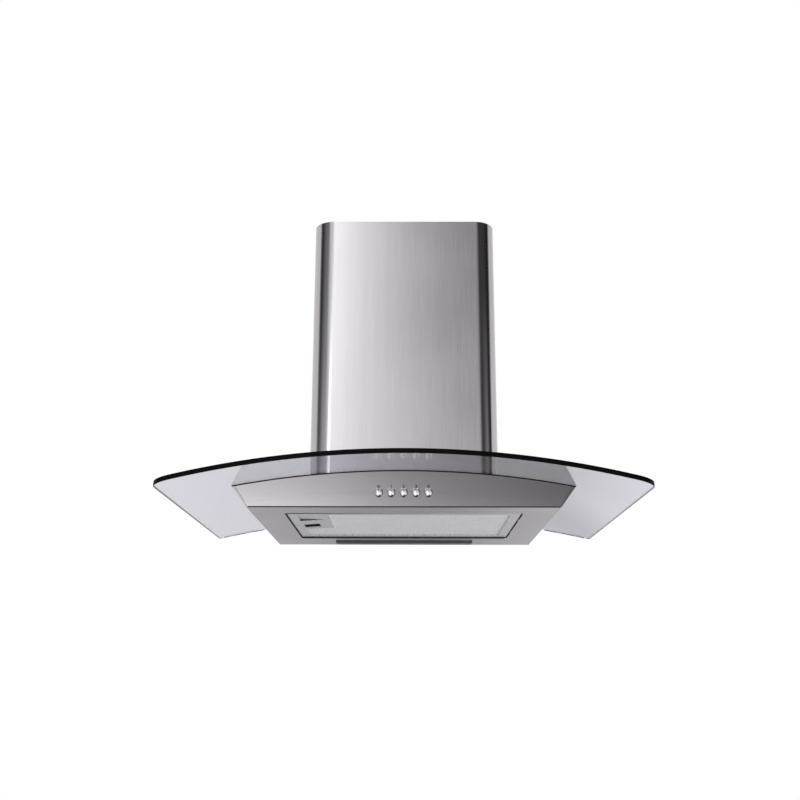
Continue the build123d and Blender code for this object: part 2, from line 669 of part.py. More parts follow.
def lamp_board():
    """Light strip under the tray's roof: a board with a row of chips."""
    top = PLATE_TOP + LAMP_HEIGHT - SHEET
    middle = -(LAMP_FRONT + LAMP_REAR) / 2
    board_half, board_depth, board_thick = 98.0, 7.0, 1.6
    chip_half, chip_depth, chip_drop = 1.8, 1.4, 2.4
    board = slab(-board_half, board_half, middle - board_depth, middle + board_depth, top - board_thick, top)
    for number in range(LAMP_CHIPS):
        x = (number - (LAMP_CHIPS - 1) / 2) * CHIP_PITCH
        chip_front, chip_rear = middle - chip_depth, middle + chip_depth
        board = board + slab(x - chip_half, x + chip_half, chip_front, chip_rear, top - chip_drop, top - 1)
    return board


# Motor box, its wall plate and the glass clamps

def clamp_places():
    return [(sign * CLAMP_X, y) for sign in (-1, 1) for y in CLAMP_YS]


def box_screw_places():
    return [(sign * (BOX_HALF - 6), y) for sign in (-1, 1) for y in BOX_SCREW_YS]


def motor_box():
    """Three-sided box, open at the top and the foot, with clamp flanges over the glass."""
    rear = -REAR_SHEET - 0.1
    inside = BOX_HALF - SHEET
    lap = BOX_HALF - 0.5
    box = slab(-BOX_HALF, BOX_HALF, -BOX_FRONT, rear, BOX_FOOT, BOX_TOP)
    box = box - slab(-inside, inside, -BOX_FRONT + SHEET, 1, -FAR, FAR)
    for sign in (-1, 1):
        clamp = side_slab(sign, lap, CLAMP_REACH, -222, -18, CLAMP_FLANGE_Z, CLAMP_FLANGE_Z + SHEET)
        roof = side_slab(sign, BOX_HALF - BOX_FLANGE, lap, -225, -15, BOX_TOP - SHEET, BOX_TOP)
        back = side_slab(sign, BOX_HALF - BOX_FLANGE, lap, rear - SHEET, rear, 40, 190)
        box = box + clamp + roof + back
    for x, y in clamp_places():
        box = box - rod(CLAMP_SCREW[0] + 2 * SCREW_GAP, (x, y, 0), (0, 0, 1), 20)
    for x, y in box_screw_places():
        box = box - rod(LID_SCREW[0] + SCREW_GAP, (x, y, BOX_TOP - 5), (0, 0, 1), 10)
    return box


def lid_screws():
    """Eight screws into the motor box: four hold its lid, and four the outlet collar on it."""
    starts = [(x, y, BOX_LID_TOP) for x, y in box_screw_places()]
    starts += [(x, y, COLLAR_Z + COLLAR_FLANGE) for x, y in collar_screw_places()]
    return group([screw(start, (0, 0, -1), LID_SCREW, LID_SCREW_LENGTH) for start in starts])


def motor_box_top():
    """Lid of the motor box in two sheets that meet at the blower's mouth, with the gland's hole."""
    front_sheet = slab(-BOX_HALF, BOX_HALF, -BOX_FRONT, BLOWER_Y - LID_SEAM, BOX_TOP, BOX_LID_TOP)
    plate = front_sheet + slab(-BOX_HALF, BOX_HALF, BLOWER_Y, 0, BOX_TOP, BOX_LID_TOP)
    plate = plate - (scroll_cavity() & slab(-FAR, FAR, -FAR, FAR, BOX_TOP - 1, BOX_TOP + 5))
    for x, y in box_screw_places() + collar_screw_places():
        plate = plate - rod(LID_SCREW[0] + 2 * SCREW_GAP, (x, y, BOX_TOP - 5), (0, 0, 1), 10)
    return plate - rod(GLAND_RADIUS + 0.1, (GLAND_X, GLAND_Y, BOX_TOP - 5), (0, 0, 1), 10)


def motor_box_back():
    """Wall plate with the four mounting holes."""
    plate = slab(-BOX_HALF, BOX_HALF, -REAR_SHEET, 0, BACK_FOOT, BOX_TOP)
    for x in (-WALL_HOLE_X, WALL_HOLE_X):
        for z in (HOOK_HEIGHT - WALL_HOLE_Z, HOOK_HEIGHT + WALL_HOLE_Z):
            plate = plate - rod(WALL_HOLE_RADIUS, (x, -3, z), (0, 1, 0), 4)
    for sign in (-1, 1):
        plate = plate - rod(BACK_SCREW[0] + SCREW_GAP, (sign * SPLICE_X, -3, SPLICE_HIGH), (0, 1, 0), 4)
    return plate


def splice_places():
    return [(sign * SPLICE_X, z) for sign in (-1, 1) for z in (SPLICE_LOW, SPLICE_HIGH)]


def splice_plate():
    """Plate inside the box that joins the rear panel and the wall plate."""
    half, foot, head = SPLICE_X + 16, SPLICE_LOW - 10, SPLICE_HIGH + 9
    plate = slab(-half, half, -2 * REAR_SHEET, -REAR_SHEET, foot, head)
    for x, z in splice_places():
        plate = plate - rod(BACK_SCREW[0] + SCREW_GAP, (x, -5, z), (0, 1, 0), 6)
    return plate


def glass_pads():
    """Rubber blocks between the motor box flanges and the glass, shaped to the arch."""
    pads = []
    for sign in (-1, 1):
        for y in CLAMP_YS:
            y0, y1 = y - PAD_LENGTH / 2, y + PAD_LENGTH / 2
            block = side_slab(sign, NOTCH_HALF + 0.5, CLAMP_REACH - 0.3, y0, y1, -PAST, CLAMP_FLANGE_Z)
            pads.append(block - under_arch(-GLASS_THICK))
    return group(pads)


def clamp_screws():
    top = CLAMP_FLANGE_Z + SHEET
    return group([screw((x, y, top), (0, 0, -1), CLAMP_SCREW, 21) for x, y in clamp_places()])


def clamp_nuts():
    foot, hex_radius, height = -11.4, 4.0, 3.2
    nuts = []
    for x, y in clamp_places():
        nut = Pos(x, y, foot) * extrude(RegularPolygon(hex_radius, 6), height)
        nuts.append(nut - rod(CLAMP_SCREW[0], (x, y, -20), (0, 0, 1), 20))
    return group(nuts)


# Blower

def scroll_outline():
    """The cavity's spiral in the XZ plane, three quarter arcs that widen by SCROLL_STEP, then the mouth."""
    shift = SCROLL_STEP / 2
    first, second, third = (SCROLL_START + number * SCROLL_STEP for number in range(3))
    half_way = (TONGUE_ANGLE + 180) / 2

    def on_first_arc(degrees):
        return (-shift + first * cos(radians(degrees)), -shift + first * sin(radians(degrees)))

    tongue, left = on_first_arc(TONGUE_ANGLE), (-shift - first, -shift)
    second_middle = (shift - second * DIAGONAL, -shift - second * DIAGONAL)
    bottom = (shift, -shift - second)
    third_middle = (shift + third * DIAGONAL, shift - third * DIAGONAL)
    right = (shift + third, shift)
    mouth_top = BOX_LID_TOP + 5 - SHAFT_Z
    mouth_right, mouth_left = (shift + third, mouth_top), (MOUTH_LEFT, mouth_top)
    return make_face([
        ThreePointArc(tongue, on_first_arc(half_way), left),
        ThreePointArc(left, second_middle, bottom),
        ThreePointArc(bottom, third_middle, right),
        Line(right, mouth_right),
        Line(mouth_right, mouth_left),
        Line(mouth_left, tongue),
    ])


def blower_frame(y):
    """A place on the shaft at y, whose Z axis points to the front."""
    return Plane(origin=(SHAFT_X, y, SHAFT_Z), x_dir=(1, 0, 0), z_dir=(0, -1, 0)).location


def scroll_cavity():
    """The air space round the wheel, up through the mouth."""
    return blower_frame(BLOWER_Y + SCROLL_HALF) * extrude(scroll_outline(), 2 * SCROLL_HALF)


def scroll_screw_places():
    second, third = SCROLL_START + SCROLL_STEP + EAR_REACH, SCROLL_START + 2 * SCROLL_STEP + EAR_REACH
    shift = SCROLL_STEP / 2
    lower_left = (SHAFT_X + shift - second * DIAGONAL, SHAFT_Z - shift - second * DIAGONAL)
    lower_right = (SHAFT_X + shift + third * DIAGONAL, SHAFT_Z + shift - third * DIAGONAL)
    upper_right = (SHAFT_X + shift + third, SHAFT_Z + EAR_RISE)
    return [lower_left, lower_right, upper_right]


def motor_screw_places():
    """Three screws through the motor's spider, evenly spaced round the shaft."""
    reach = INLET_RADIUS + 8
    turns = [radians(angle) for angle in SPIDER_ANGLES]
    return [(SHAFT_X + reach * cos(turn), SHAFT_Z + reach * sin(turn)) for turn in turns]


def scroll_solid():
    """The whole scroll housing before it is split."""
    top_half_x, top_half_y = 72.0, 56.0
    outline = offset(scroll_outline(), SCROLL_WALL, kind=Kind.INTERSECTION)
    outer = blower_frame(BLOWER_Y + SCROLL_OUTER) * extrude(outline, 2 * SCROLL_OUTER)
    outer = outer & below(BOX_TOP)
    roof_front, roof_rear = BLOWER_Y - top_half_y, BLOWER_Y + top_half_y
    outer = outer + slab(-top_half_x, top_half_x, roof_front, roof_rear, BOX_TOP - SCROLL_WALL, BOX_TOP)
    for x, z in scroll_screw_places():
        outer = outer + rod(SCROLL_EAR, (x, BLOWER_Y - 3, z), (0, 1, 0), 6)
    for side in (-1, 1):
        start = (SHAFT_X, BLOWER_Y + side * SCROLL_OUTER, SHAFT_Z)
        outer = outer + rod(INLET_RADIUS + 2, start, (0, side, 0), INLET_LIP)
    scroll = outer - scroll_cavity()
    scroll = scroll - rod(INLET_RADIUS, (SHAFT_X, BLOWER_Y - 80, SHAFT_Z), (0, 1, 0), 160)
    for x, z in scroll_screw_places():
        scroll = scroll - rod(SCROLL_SCREW[0] + SCREW_GAP, (x, BLOWER_Y - 10, z), (0, 1, 0), 20)
    for x, y in collar_screw_places():
        scroll = scroll - rod(LID_SCREW[0], (x, y, BOX_TOP - 5), (0, 0, 1), 10)
    for x, z in motor_screw_places():
        scroll = scroll - rod(MOTOR_SCREW[0] + SCREW_GAP, (x, BLOWER_Y, z), (0, 1, 0), 60)
    return scroll


def scroll_screws():
    starts = [(x, BLOWER_Y - 3, z) for x, z in scroll_screw_places()]
    return group([screw(start, (0, 1, 0), SCROLL_SCREW, 8) for start in starts])


def motor_bracket():
    """Spider that carries the motor in the rear inlet."""
    band, arm_width = 14.0, 12.0
    spider = tube(MOTOR_RADIUS, MOTOR_RADIUS + 2, (SHAFT_X, SPIDER_FACE - 6, SHAFT_Z), (0, 1, 0), band)
    arm = Pos(MOTOR_RADIUS + 13, 0, 0) * Box(24, arm_width, SPIDER_SHEET)
    for angle in SPIDER_ANGLES:
        spider = spider + blower_frame(SPIDER_FACE + SPIDER_SHEET / 2) * (Rot(0, 0, angle) * arm)
    spider = spider - rod(MOTOR_RADIUS, (SHAFT_X, SPIDER_FACE - 10, SHAFT_Z), (0, 1, 0), 30)
    for x, z in motor_screw_places():
        spider = spider - rod(MOTOR_SCREW[0] + 2 * SCREW_GAP, (x, SPIDER_FACE - 5, z), (0, 1, 0), 12)
    return spider


def motor_grommets():
    inner, outer = MOTOR_SCREW[0] + 2 * SCREW_GAP, 4.0
    starts = [(x, SPIDER_FACE - GROMMET, z) for x, z in motor_screw_places()]
    return group([tube(inner, outer, start, (0, 1, 0), GROMMET) for start in starts])


def motor_screws():
    starts = [(x, SPIDER_FACE + SPIDER_SHEET, z) for x, z in motor_screw_places()]
    return group([screw(start, (0, -1, 0), MOTOR_SCREW, 8) for start in starts])


def motor_housing():
    """Motor can, set into the wheel's rear, with a boss round its shaft hole."""
    body = rod(MOTOR_RADIUS, (SHAFT_X, MOTOR_FRONT, SHAFT_Z), (0, 1, 0), MOTOR_REAR - MOTOR_FRONT)
    body = fillet(body.edges().filter_by(GeomType.CIRCLE), 5)
    body = body + rod(MOTOR_BOSS, (SHAFT_X, MOTOR_FRONT - 1.4, SHAFT_Z), (0, 1, 0), 3)
    return body - rod(SHAFT_RADIUS + RUNNING_FIT, (SHAFT_X, MOTOR_FRONT - 5, SHAFT_Z), (0, 1, 0), 56)


def motor_shaft():
    front, rear = BLOWER_Y - SHAFT_FRONT, MOTOR_REAR - SHAFT_REAR_GAP
    return rod(SHAFT_RADIUS, (SHAFT_X, front, SHAFT_Z), (0, 1, 0), rear - front)


def shaft_nut():
    nut = blower_frame(BLOWER_Y - HUB_LENGTH - 0.2) * extrude(RegularPolygon(7.0, 6), 5)
    return nut - rod(SHAFT_RADIUS, (SHAFT_X, BLOWER_Y - 60, SHAFT_Z), (0, 1, 0), 60)


def blade():
    """One forward-curved blade of a wheel half, from the middle disc to the end ring."""
    inner, outer = WHEEL_RADIUS - BLADE_DEPTH, WHEEL_RADIUS - 0.2
    middle = (inner + outer) / 2

    def point(radius, degrees):
        return (radius * cos(radians(degrees)), radius * sin(radians(degrees)))

    front = ThreePointArc(point(inner, 0), point(middle, 0.3 * BLADE_SWEEP), point(outer, BLADE_SWEEP))
    back_out, back_in = point(outer, BLADE_SWEEP + BLADE_TURN), point(inner, BLADE_TURN)
    back = ThreePointArc(back_out, point(middle, 0.3 * BLADE_SWEEP + BLADE_TURN), back_in)
    tip = Line(point(outer, BLADE_SWEEP), back_out)
    root = Line(back_in, point(inner, 0))
    outline = make_face([front, tip, back, root])
    return Pos(0, 0, WHEEL_RING / 2) * extrude(outline, WHEEL_HALF - WHEEL_RING)


def impeller_disc():
    """Middle disc of the blower wheel, with the hub that sits on the shaft."""
    disc = Cylinder(WHEEL_RADIUS, WHEEL_RING) + rod(HUB_RADIUS, (0, 0, 0), (0, 0, 1), HUB_LENGTH)
    return blower_frame(BLOWER_Y) * (disc - rod(SHAFT_RADIUS, (0, 0, -50), (0, 0, 1), 100))


def impeller_half():
    """Front half of the wheel: a ring of blades on an end ring."""
    one = blade()
    ring_start = (0, 0, WHEEL_HALF - WHEEL_RING)
    half = tube(WHEEL_RADIUS - BLADE_DEPTH, WHEEL_RADIUS, ring_start, (0, 0, 1), WHEEL_RING)
    return half + [Rot(0, 0, number * 360 / BLADE_COUNT) * one for number in range(BLADE_COUNT)]


# Electrical pieces in the motor box

def capacitor():
    x, y, z = CAPACITOR
    pin_radius, pin_x, pin_length = 1.5, 5.0, 10.0
    body = rod(CAPACITOR_RADIUS, (x, y, z), (0, 0, 1), CAPACITOR_LENGTH)
    body = fillet(body.edges().filter_by(GeomType.CIRCLE), 2)
    for side in (-1, 1):
        body = body + rod(pin_radius, (x + side * pin_x, y, z + CAPACITOR_LENGTH - 2), (0, 0, 1), pin_length)
    return body


def capacitor_strap():
    """Band round the capacitor and its tab on the box's side."""
    x, y, z = CAPACITOR
    low, width = z + 20, 14.0
    strap = tube(CAPACITOR_RADIUS, CAPACITOR_RADIUS + 1, (x, y, low), (0, 0, 1), width)
    return strap + slab(x + CAPACITOR_RADIUS + 0.5, BOX_HALF - SHEET, y - 12, y + 12, low, low + width)


def terminal_slab(x0, x1, inset):
    """A block of the terminal box's side view from x0 to x1, smaller by inset all round."""
    y0, y1 = TERMINAL_BOX[1] + inset, TERMINAL_BOX_END[1] - inset
    return slab(x0, x1, y0, y1, TERMINAL_BOX[2] + inset, TERMINAL_BOX_END[2] - inset)


def terminal_box():
    """Box on the motor box's right side, open to the left."""
    left, right = TERMINAL_BOX[0], TERMINAL_BOX_END[0]
    return terminal_slab(left, right, 0) - terminal_slab(left - 1, right - TERMINAL_WALL, TERMINAL_WALL)


def terminal_box_lid():
    left = TERMINAL_BOX[0]
    inner = terminal_slab(left, left + TERMINAL_WALL, TERMINAL_WALL + 0.2)
    return terminal_slab(left - TERMINAL_WALL, left, 0) + inner


def cable_gland():
    """Gland through the lid, a hexagon on each side of the sheet."""
    foot, length = BOX_TOP - GLAND_HEX_HEIGHT - 2, 20.0
    body = rod(GLAND_RADIUS, (GLAND_X, GLAND_Y, foot), (0, 0, 1), length)
    for z in (BOX_LID_TOP, foot):
        body = body + Pos(GLAND_X, GLAND_Y, z) * extrude(RegularPolygon(GLAND_HEX, 6), GLAND_HEX_HEIGHT)
    return body - rod(GLAND_BORE, (GLAND_X, GLAND_Y, foot - 8), (0, 0, 1), 2 * length)


# Duct outlet with its two backdraft flaps

def collar_screw_places():
    xs, ys = (-COLLAR_SCREW_X, COLLAR_SCREW_X), (-COLLAR_SCREW_Y, COLLAR_SCREW_Y)
    return [(x, BLOWER_Y + y) for x in xs for y in ys]


def outlet_collar():
    """Round outlet for the duct, with a ledge that the shut flaps rest on."""
    half = COLLAR_FLANGE_HALF
    inner = COLLAR_RADIUS - COLLAR_WALL
    flange = slab(-half, half, BLOWER_Y - half, BLOWER_Y + half, COLLAR_Z, COLLAR_Z + COLLAR_FLANGE)
    flange = fillet(flange.edges().filter_by(Axis.Z), 8)
    collar = flange + rod(COLLAR_RADIUS, (0, BLOWER_Y, COLLAR_Z), (0, 0, 1), COLLAR_TOP - COLLAR_Z)
    collar = collar - rod(inner, (0, BLOWER_Y, COLLAR_Z - 1), (0, 0, 1), 90)
    collar = collar + tube(inner - LEDGE, inner + 0.5, (0, BLOWER_Y, LEDGE_Z), (0, 0, 1), 2)
    collar = collar - rod(PIN_RADIUS, (-90, BLOWER_Y, PIN_Z), (1, 0, 0), 180)
    for x, y in collar_screw_places():
        collar = collar - rod(LID_SCREW[0] + 2 * SCREW_GAP, (x, y, COLLAR_Z - 5), (0, 0, 1), 10)
    return collar


def damper_pin():
    return rod(PIN_RADIUS, (-COLLAR_RADIUS, BLOWER_Y, PIN_Z), (1, 0, 0), 2 * COLLAR_RADIUS)


def damper_flap(side, knuckle_xs):
    """A half-moon flap that hangs on the pin; side is -1 for the front one and 1 for the rear one."""
    top = -FLAP_OFFSET
    disc = rod(FLAP_RADIUS, (0, 0, top - FLAP_SHEET), (0, 0, 1), FLAP_SHEET)
    near, far = sorted((side * FLAP_GAP, side * FAR))
    flap = disc & slab(-FAR, FAR, near, far, -FAR, FAR)
    web_near, web_far = sorted((side * FLAP_GAP, side * KNUCKLE_RADIUS))
    for x in knuckle_xs:
        flap = flap + slab(x, x + KNUCKLE_LENGTH, web_near, web_far, top - 0.2, 0)
        flap = flap + rod(KNUCKLE_RADIUS, (x, 0, 0), (1, 0, 0), KNUCKLE_LENGTH)
    flap = flap - rod(PIN_RADIUS + RUNNING_FIT, (-90, 0, 0), (1, 0, 0), 180)
    return Pos(0, BLOWER_Y, PIN_Z) * flap


# Chimney covers and their fixings

def chimney_cover(inset, low, high):
    """A folded cover: round front corners, open back with narrow hems."""
    sheet = CHIMNEY_SHEET
    half, front, radius = CHIMNEY_HALF - inset, CHIMNEY_FRONT - inset, CHIMNEY_RADIUS - inset

    def outline(shrink, back):
        face = front - shrink
        shape = Pos(0, -(face + back) / 2) * Rectangle(2 * (half - shrink), face - back)
        return fillet(shape.vertices().group_by(Axis.Y)[0], radius - shrink)

    outer = Pos(0, 0, low) * extrude(outline(0, inset), high - low)
    inner = Pos(0, 0, low) * extrude(outline(sheet, inset + sheet), high - low)
    gap = half - sheet - CHIMNEY_HEM
    return outer - inner - slab(-gap, gap, -inset - 2 * sheet, 1, -FAR, FAR)


def lower_chimney():
    """Lower cover, whose foot follows the top of the glass."""
    cover = chimney_cover(0, -ARCH_RISE, CHIMNEY_TOP) - under_arch(-GLASS_THICK - 0.2)
    for sign in (-1, 1):
        start = (sign * (CHIMNEY_HALF - 5), CLIP_Y, CLIP_Z)
        cover = cover - rod(CHIMNEY_SCREW[0] + 3 * SCREW_GAP, start, (sign, 0, 0), 10)
    return cover


def upper_chimney():
    """Telescopic cover inside the lower one."""
    cover = chimney_cover(CHIMNEY_SHEET + CHIMNEY_GAP, UPPER_FOOT, CHIMNEY_TOP)
    for sign in (-1, 1):
        cover = cover - rod(FLUSH_SCREW_RADIUS, (sign * 120, BRACKET_EAR_Y, BRACKET_Z), (sign, 0, 0), 20)
    return cover


def chimney_bracket():
    """Hat-shaped wall bracket of the upper cover."""
    low, high = BRACKET_Z - BRACKET_HEIGHT / 2, BRACKET_Z + BRACKET_HEIGHT / 2
    sheet = BRACKET_SHEET
    reach = CHIMNEY_HALF - 2 * CHIMNEY_SHEET - CHIMNEY_GAP
    step_front = -BRACKET_STEP - sheet
    bracket = slab(-BRACKET_HALF, BRACKET_HALF, -sheet, 0, low, high)
    arm = slab(BRACKET_HALF - sheet, BRACKET_HALF, step_front, 0, low, high)
    arm = arm + slab(BRACKET_HALF - sheet, reach, step_front, -BRACKET_STEP, low, high)
    arm = arm + slab(reach - sheet, reach, -BRACKET_EAR, -BRACKET_STEP, low, high)
    arm = arm - rod(FLUSH_SCREW_RADIUS, (120, BRACKET_EAR_Y, BRACKET_Z), (1, 0, 0), 20)
    bracket = bracket + arm + mirrored(arm)
    for x in (-BRACKET_HOLE_X, BRACKET_HOLE_X):
        bracket = bracket - rod(BRACKET_HOLE_RADIUS, (x, -3, BRACKET_Z), (0, 1, 0), 4)
    return bracket


def bracket_screws():
    """Flush screws through the upper cover into the bracket's ears."""
    outer, length = CHIMNEY_HALF - CHIMNEY_SHEET - CHIMNEY_GAP, 8.0
    one = rod(FLUSH_SCREW_RADIUS, (outer - length, BRACKET_EAR_Y, BRACKET_Z), (1, 0, 0), length)
    return group([one, mirrored(one)])


def chimney_clips():
    """Z-shaped tabs from the motor box sides to the lower cover."""
    inside = CHIMNEY_HALF - CHIMNEY_SHEET
    sheet = REAR_SHEET
    y0, y1 = CLIP_Y - CLIP_HALF, CLIP_Y + CLIP_HALF
    low, high = CLIP_Z - 13, CLIP_Z + 12
    clip = slab(BOX_HALF, BOX_HALF + sheet, y0, y1, low, high)
    clip = clip + slab(BOX_HALF, inside, y0, y1, low, low + sheet)
    clip = clip + slab(inside - sheet, inside, y0, y1, low, high)
    clip = clip - rod(CHIMNEY_SCREW[0] + SCREW_GAP, (inside - 5, CLIP_Y, CLIP_Z), (1, 0, 0), 10)
    return group([clip, mirrored(clip)])


def chimney_screws():
    one = screw((CHIMNEY_HALF, CLIP_Y, CLIP_Z), (-1, 0, 0), CHIMNEY_SCREW, 6)
    return group([one, mirrored(one)])


# Write every piece. A piece made by one call is named after its function.

ONE_CALL_PIECES = [
    glass_canopy, glass_gasket,
    front_panel, rear_panel, top_plate, underside_plate, back_screws,
    switch_block, switch_bracket, switch_screws,
    grease_filter_frame, grease_filter_mesh, grease_filter_core, filter_latch_plate, filter_latch,
    lamp_lens, lamp_housing, lamp_board,
    motor_box, motor_box_top, motor_box_back, splice_plate,
    glass_pads, clamp_screws, clamp_nuts,
    scroll_screws, motor_bracket, motor_grommets, motor_screws,
    motor_housing, motor_shaft, shaft_nut, impeller_disc,
    capacitor, capacitor_strap, terminal_box, terminal_box_lid, cable_gland,
    outlet_collar, lid_screws, damper_pin,
    lower_chimney, upper_chimney, chimney_bracket, bracket_screws, chimney_clips, chimney_screws,
]
for make in ONE_CALL_PIECES:
    save(make.__name__, make())

right_side = side_panel()
save("side_panel_right", right_side)
save("side_panel_left", mirrored(right_side))
for name, x in zip(BUTTON_NAMES, button_xs()):
    save(name, push_button(x))
front_half = impeller_half()
save("impeller_front", blower_frame(BLOWER_Y) * front_half)
save("impeller_rear", blower_frame(BLOWER_Y) * mirror(front_half, about=Plane.XY))
scroll = scroll_solid()
save("scroll_front", scroll & slab(-FAR, FAR, -FAR, BLOWER_Y, -FAR, FAR))
save("scroll_rear", scroll & slab(-FAR, FAR, BLOWER_Y, FAR, -FAR, FAR))
save("damper_flap_front", damper_flap(-1, FRONT_KNUCKLES))
save("damper_flap_rear", damper_flap(1, REAR_KNUCKLES))
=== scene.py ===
import json
from math import asin, cos, pi, radians, sin, sqrt, tan

import bmesh
import bpy
from mathutils import Matrix, Vector

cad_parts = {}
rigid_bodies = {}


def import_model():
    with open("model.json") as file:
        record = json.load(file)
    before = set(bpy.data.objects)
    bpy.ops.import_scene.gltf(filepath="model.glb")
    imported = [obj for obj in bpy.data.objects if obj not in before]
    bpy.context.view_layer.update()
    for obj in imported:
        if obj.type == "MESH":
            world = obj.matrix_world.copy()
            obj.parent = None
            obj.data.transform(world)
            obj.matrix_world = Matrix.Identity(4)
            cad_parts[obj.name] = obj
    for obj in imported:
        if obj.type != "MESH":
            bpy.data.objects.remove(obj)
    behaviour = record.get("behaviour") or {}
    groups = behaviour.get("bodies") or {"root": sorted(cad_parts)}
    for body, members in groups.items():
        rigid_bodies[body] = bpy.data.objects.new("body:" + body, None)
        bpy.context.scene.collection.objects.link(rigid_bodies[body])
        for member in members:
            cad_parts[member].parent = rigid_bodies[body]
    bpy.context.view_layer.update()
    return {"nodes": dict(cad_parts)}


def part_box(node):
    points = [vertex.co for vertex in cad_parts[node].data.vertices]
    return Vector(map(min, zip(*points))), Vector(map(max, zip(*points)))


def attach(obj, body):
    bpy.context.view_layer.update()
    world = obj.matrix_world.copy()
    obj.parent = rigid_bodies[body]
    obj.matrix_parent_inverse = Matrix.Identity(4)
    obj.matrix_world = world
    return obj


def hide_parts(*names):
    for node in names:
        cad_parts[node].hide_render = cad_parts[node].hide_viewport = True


# Looks of a wall-mounted range hood with an arched glass canopy. Metres, X right, Y into the wall,
# Z up, and the origin is the middle of the wall holes.

for left_over in list(bpy.data.objects):
    bpy.data.objects.remove(left_over)

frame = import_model()
nodes = frame["nodes"]
MM = 0.001
MERGE = 0.001 * MM

# Driving dimensions of the CAD model that pieces here follow
CROWN_Z = -110 * MM
GLASS_THICK = 6 * MM
ARCH_RADIUS = 1356.1 * MM
CANOPY_HALF = 300 * MM
CANOPY_DEPTH = 500 * MM
CORNER_RADIUS = 25 * MM
FRONT_RADIUS = 2260 * MM
BASE_Z = CROWN_Z - 42.5 * MM
BASE_FRONT = 370 * MM
LEAN = radians(35.5)
BUTTON_Z = CROWN_Z - 25.5 * MM
BUTTON_PITCH = 15.8 * MM
LATCH_STEP_Y = -250 * MM
LATCH_RAMP_END = -110 * MM
LATCH_DROP = 2.2 * MM

# Diamonds of the filter's expanded mesh
DIAMOND_LONG = 7.0 * MM
DIAMOND_SHORT = 4.2 * MM

# The photograph's camera, worked out from the hood's outlines
CAMERA_PLACE = Vector((3.3, -1689.4, -370.5)) * MM
CAMERA_YAW = -0.0063
CAMERA_PITCH = 0.2665
CAMERA_ROLL = 0.0026
FOCAL_PIXELS = 1040.2
IMAGE_PIXELS = 800
SENSOR = 36.0

# Heights of the floor and of the reflector card
FLOOR_Z = -1.3
CARD_Z = -0.85


# Helpers for node trees

def node(tree, kind, settings=None, **inputs):
    """A new node. Inputs are given by name with _ for a space, or by number as n0, n1 and so on."""
    made = tree.nodes.new(kind)
    for key, value in (settings or {}).items():
        setattr(made, key, value)
    for key, value in inputs.items():
        by_number = key[0] == "n" and key[1:].isdigit()
        socket = made.inputs[int(key[1:])] if by_number else made.inputs[key.replace("_", " ")]
        if isinstance(value, bpy.types.NodeSocket):
            tree.links.new(value, socket)
        else:
            socket.default_value = value
    return made


def math(tree, operation, first, second=0.0):
    return node(tree, "ShaderNodeMath", {"operation": operation}, n0=first, n1=second).outputs[0]


def vector_math(tree, operation, *values):
    inputs = {f"n{number}": value for number, value in enumerate(values)}
    return node(tree, "ShaderNodeVectorMath", {"operation": operation}, **inputs).outputs[0]


def spread(tree, value, new_low, new_high):
    """The middle part of a noise, stretched over a new range."""
    return map_range(tree, value, 0.3, 0.7, new_low, new_high)


def parts_of(tree, vector):
    return node(tree, "ShaderNodeSeparateXYZ", Vector=vector).outputs


def map_range(tree, value, low, high, new_low=0.0, new_high=1.0, smooth=False):
    kind = "SMOOTHSTEP" if smooth else "LINEAR"
    made = node(tree, "ShaderNodeMapRange", {"interpolation_type": kind}, Value=value, From_Min=low,
                From_Max=high, To_Min=new_low, To_Max=new_high)
    return made.outputs["Result"]


def ramp(tree, factor, stops):
    """A ramp over (place, grey value) stops."""
    made = node(tree, "ShaderNodeValToRGB", Fac=factor)
    elements = made.color_ramp.elements
    while len(elements) < len(stops):
        elements.new(0.5)
    for element, (place, value) in zip(elements, stops):
        element.position = place
        element.color = (value, value, value, 1.0)
    return made.outputs["Color"]


def local_place(tree, scale=(1.0, 1.0, 1.0)):
    """The piece's own coordinates, scaled along each axis."""
    place = node(tree, "ShaderNodeTexCoord").outputs["Object"]
    return node(tree, "ShaderNodeMapping", Vector=place, Scale=scale).outputs["Vector"]


def noise(tree, vector, scale=1.0, detail=3.0, roughness=0.55):
    made = node(tree, "ShaderNodeTexNoise", Vector=vector, Scale=scale, Detail=detail, Roughness=roughness)
    return made.outputs["Fac"]


def mix_colour(tree, factor, first, second):
    made = node(tree, "ShaderNodeMix", {"data_type": "RGBA"}, n0=factor)
    for socket, value in ((made.inputs[6], first), (made.inputs[7], second)):
        if isinstance(value, bpy.types.NodeSocket):
            tree.links.new(value, socket)
        else:
            socket.default_value = (*value[:3], 1.0)
    return made.outputs[2]


def bump(tree, height, distance, strength):
    made = node(tree, "ShaderNodeBump", Height=height, Distance=distance, Strength=strength)
    return made.outputs["Normal"]


def new_material(name):
    """A material with a Principled shader: returns the material, its tree and the shader."""
    material = bpy.data.materials.new(name)
    material.use_nodes = True
    tree = material.node_tree
    return material, tree, tree.nodes["Principled BSDF"]


def plug(tree, shader, **inputs):
    """Links or sets inputs of a shader."""
    for key, value in inputs.items():
        socket = shader.inputs[key.replace("_", " ")]
        if isinstance(value, bpy.types.NodeSocket):
            tree.links.new(value, socket)
        else:
            socket.default_value = value


# Materials

STEEL = (0.527, 0.503, 0.526)
STEEL_SPREAD = 0.035


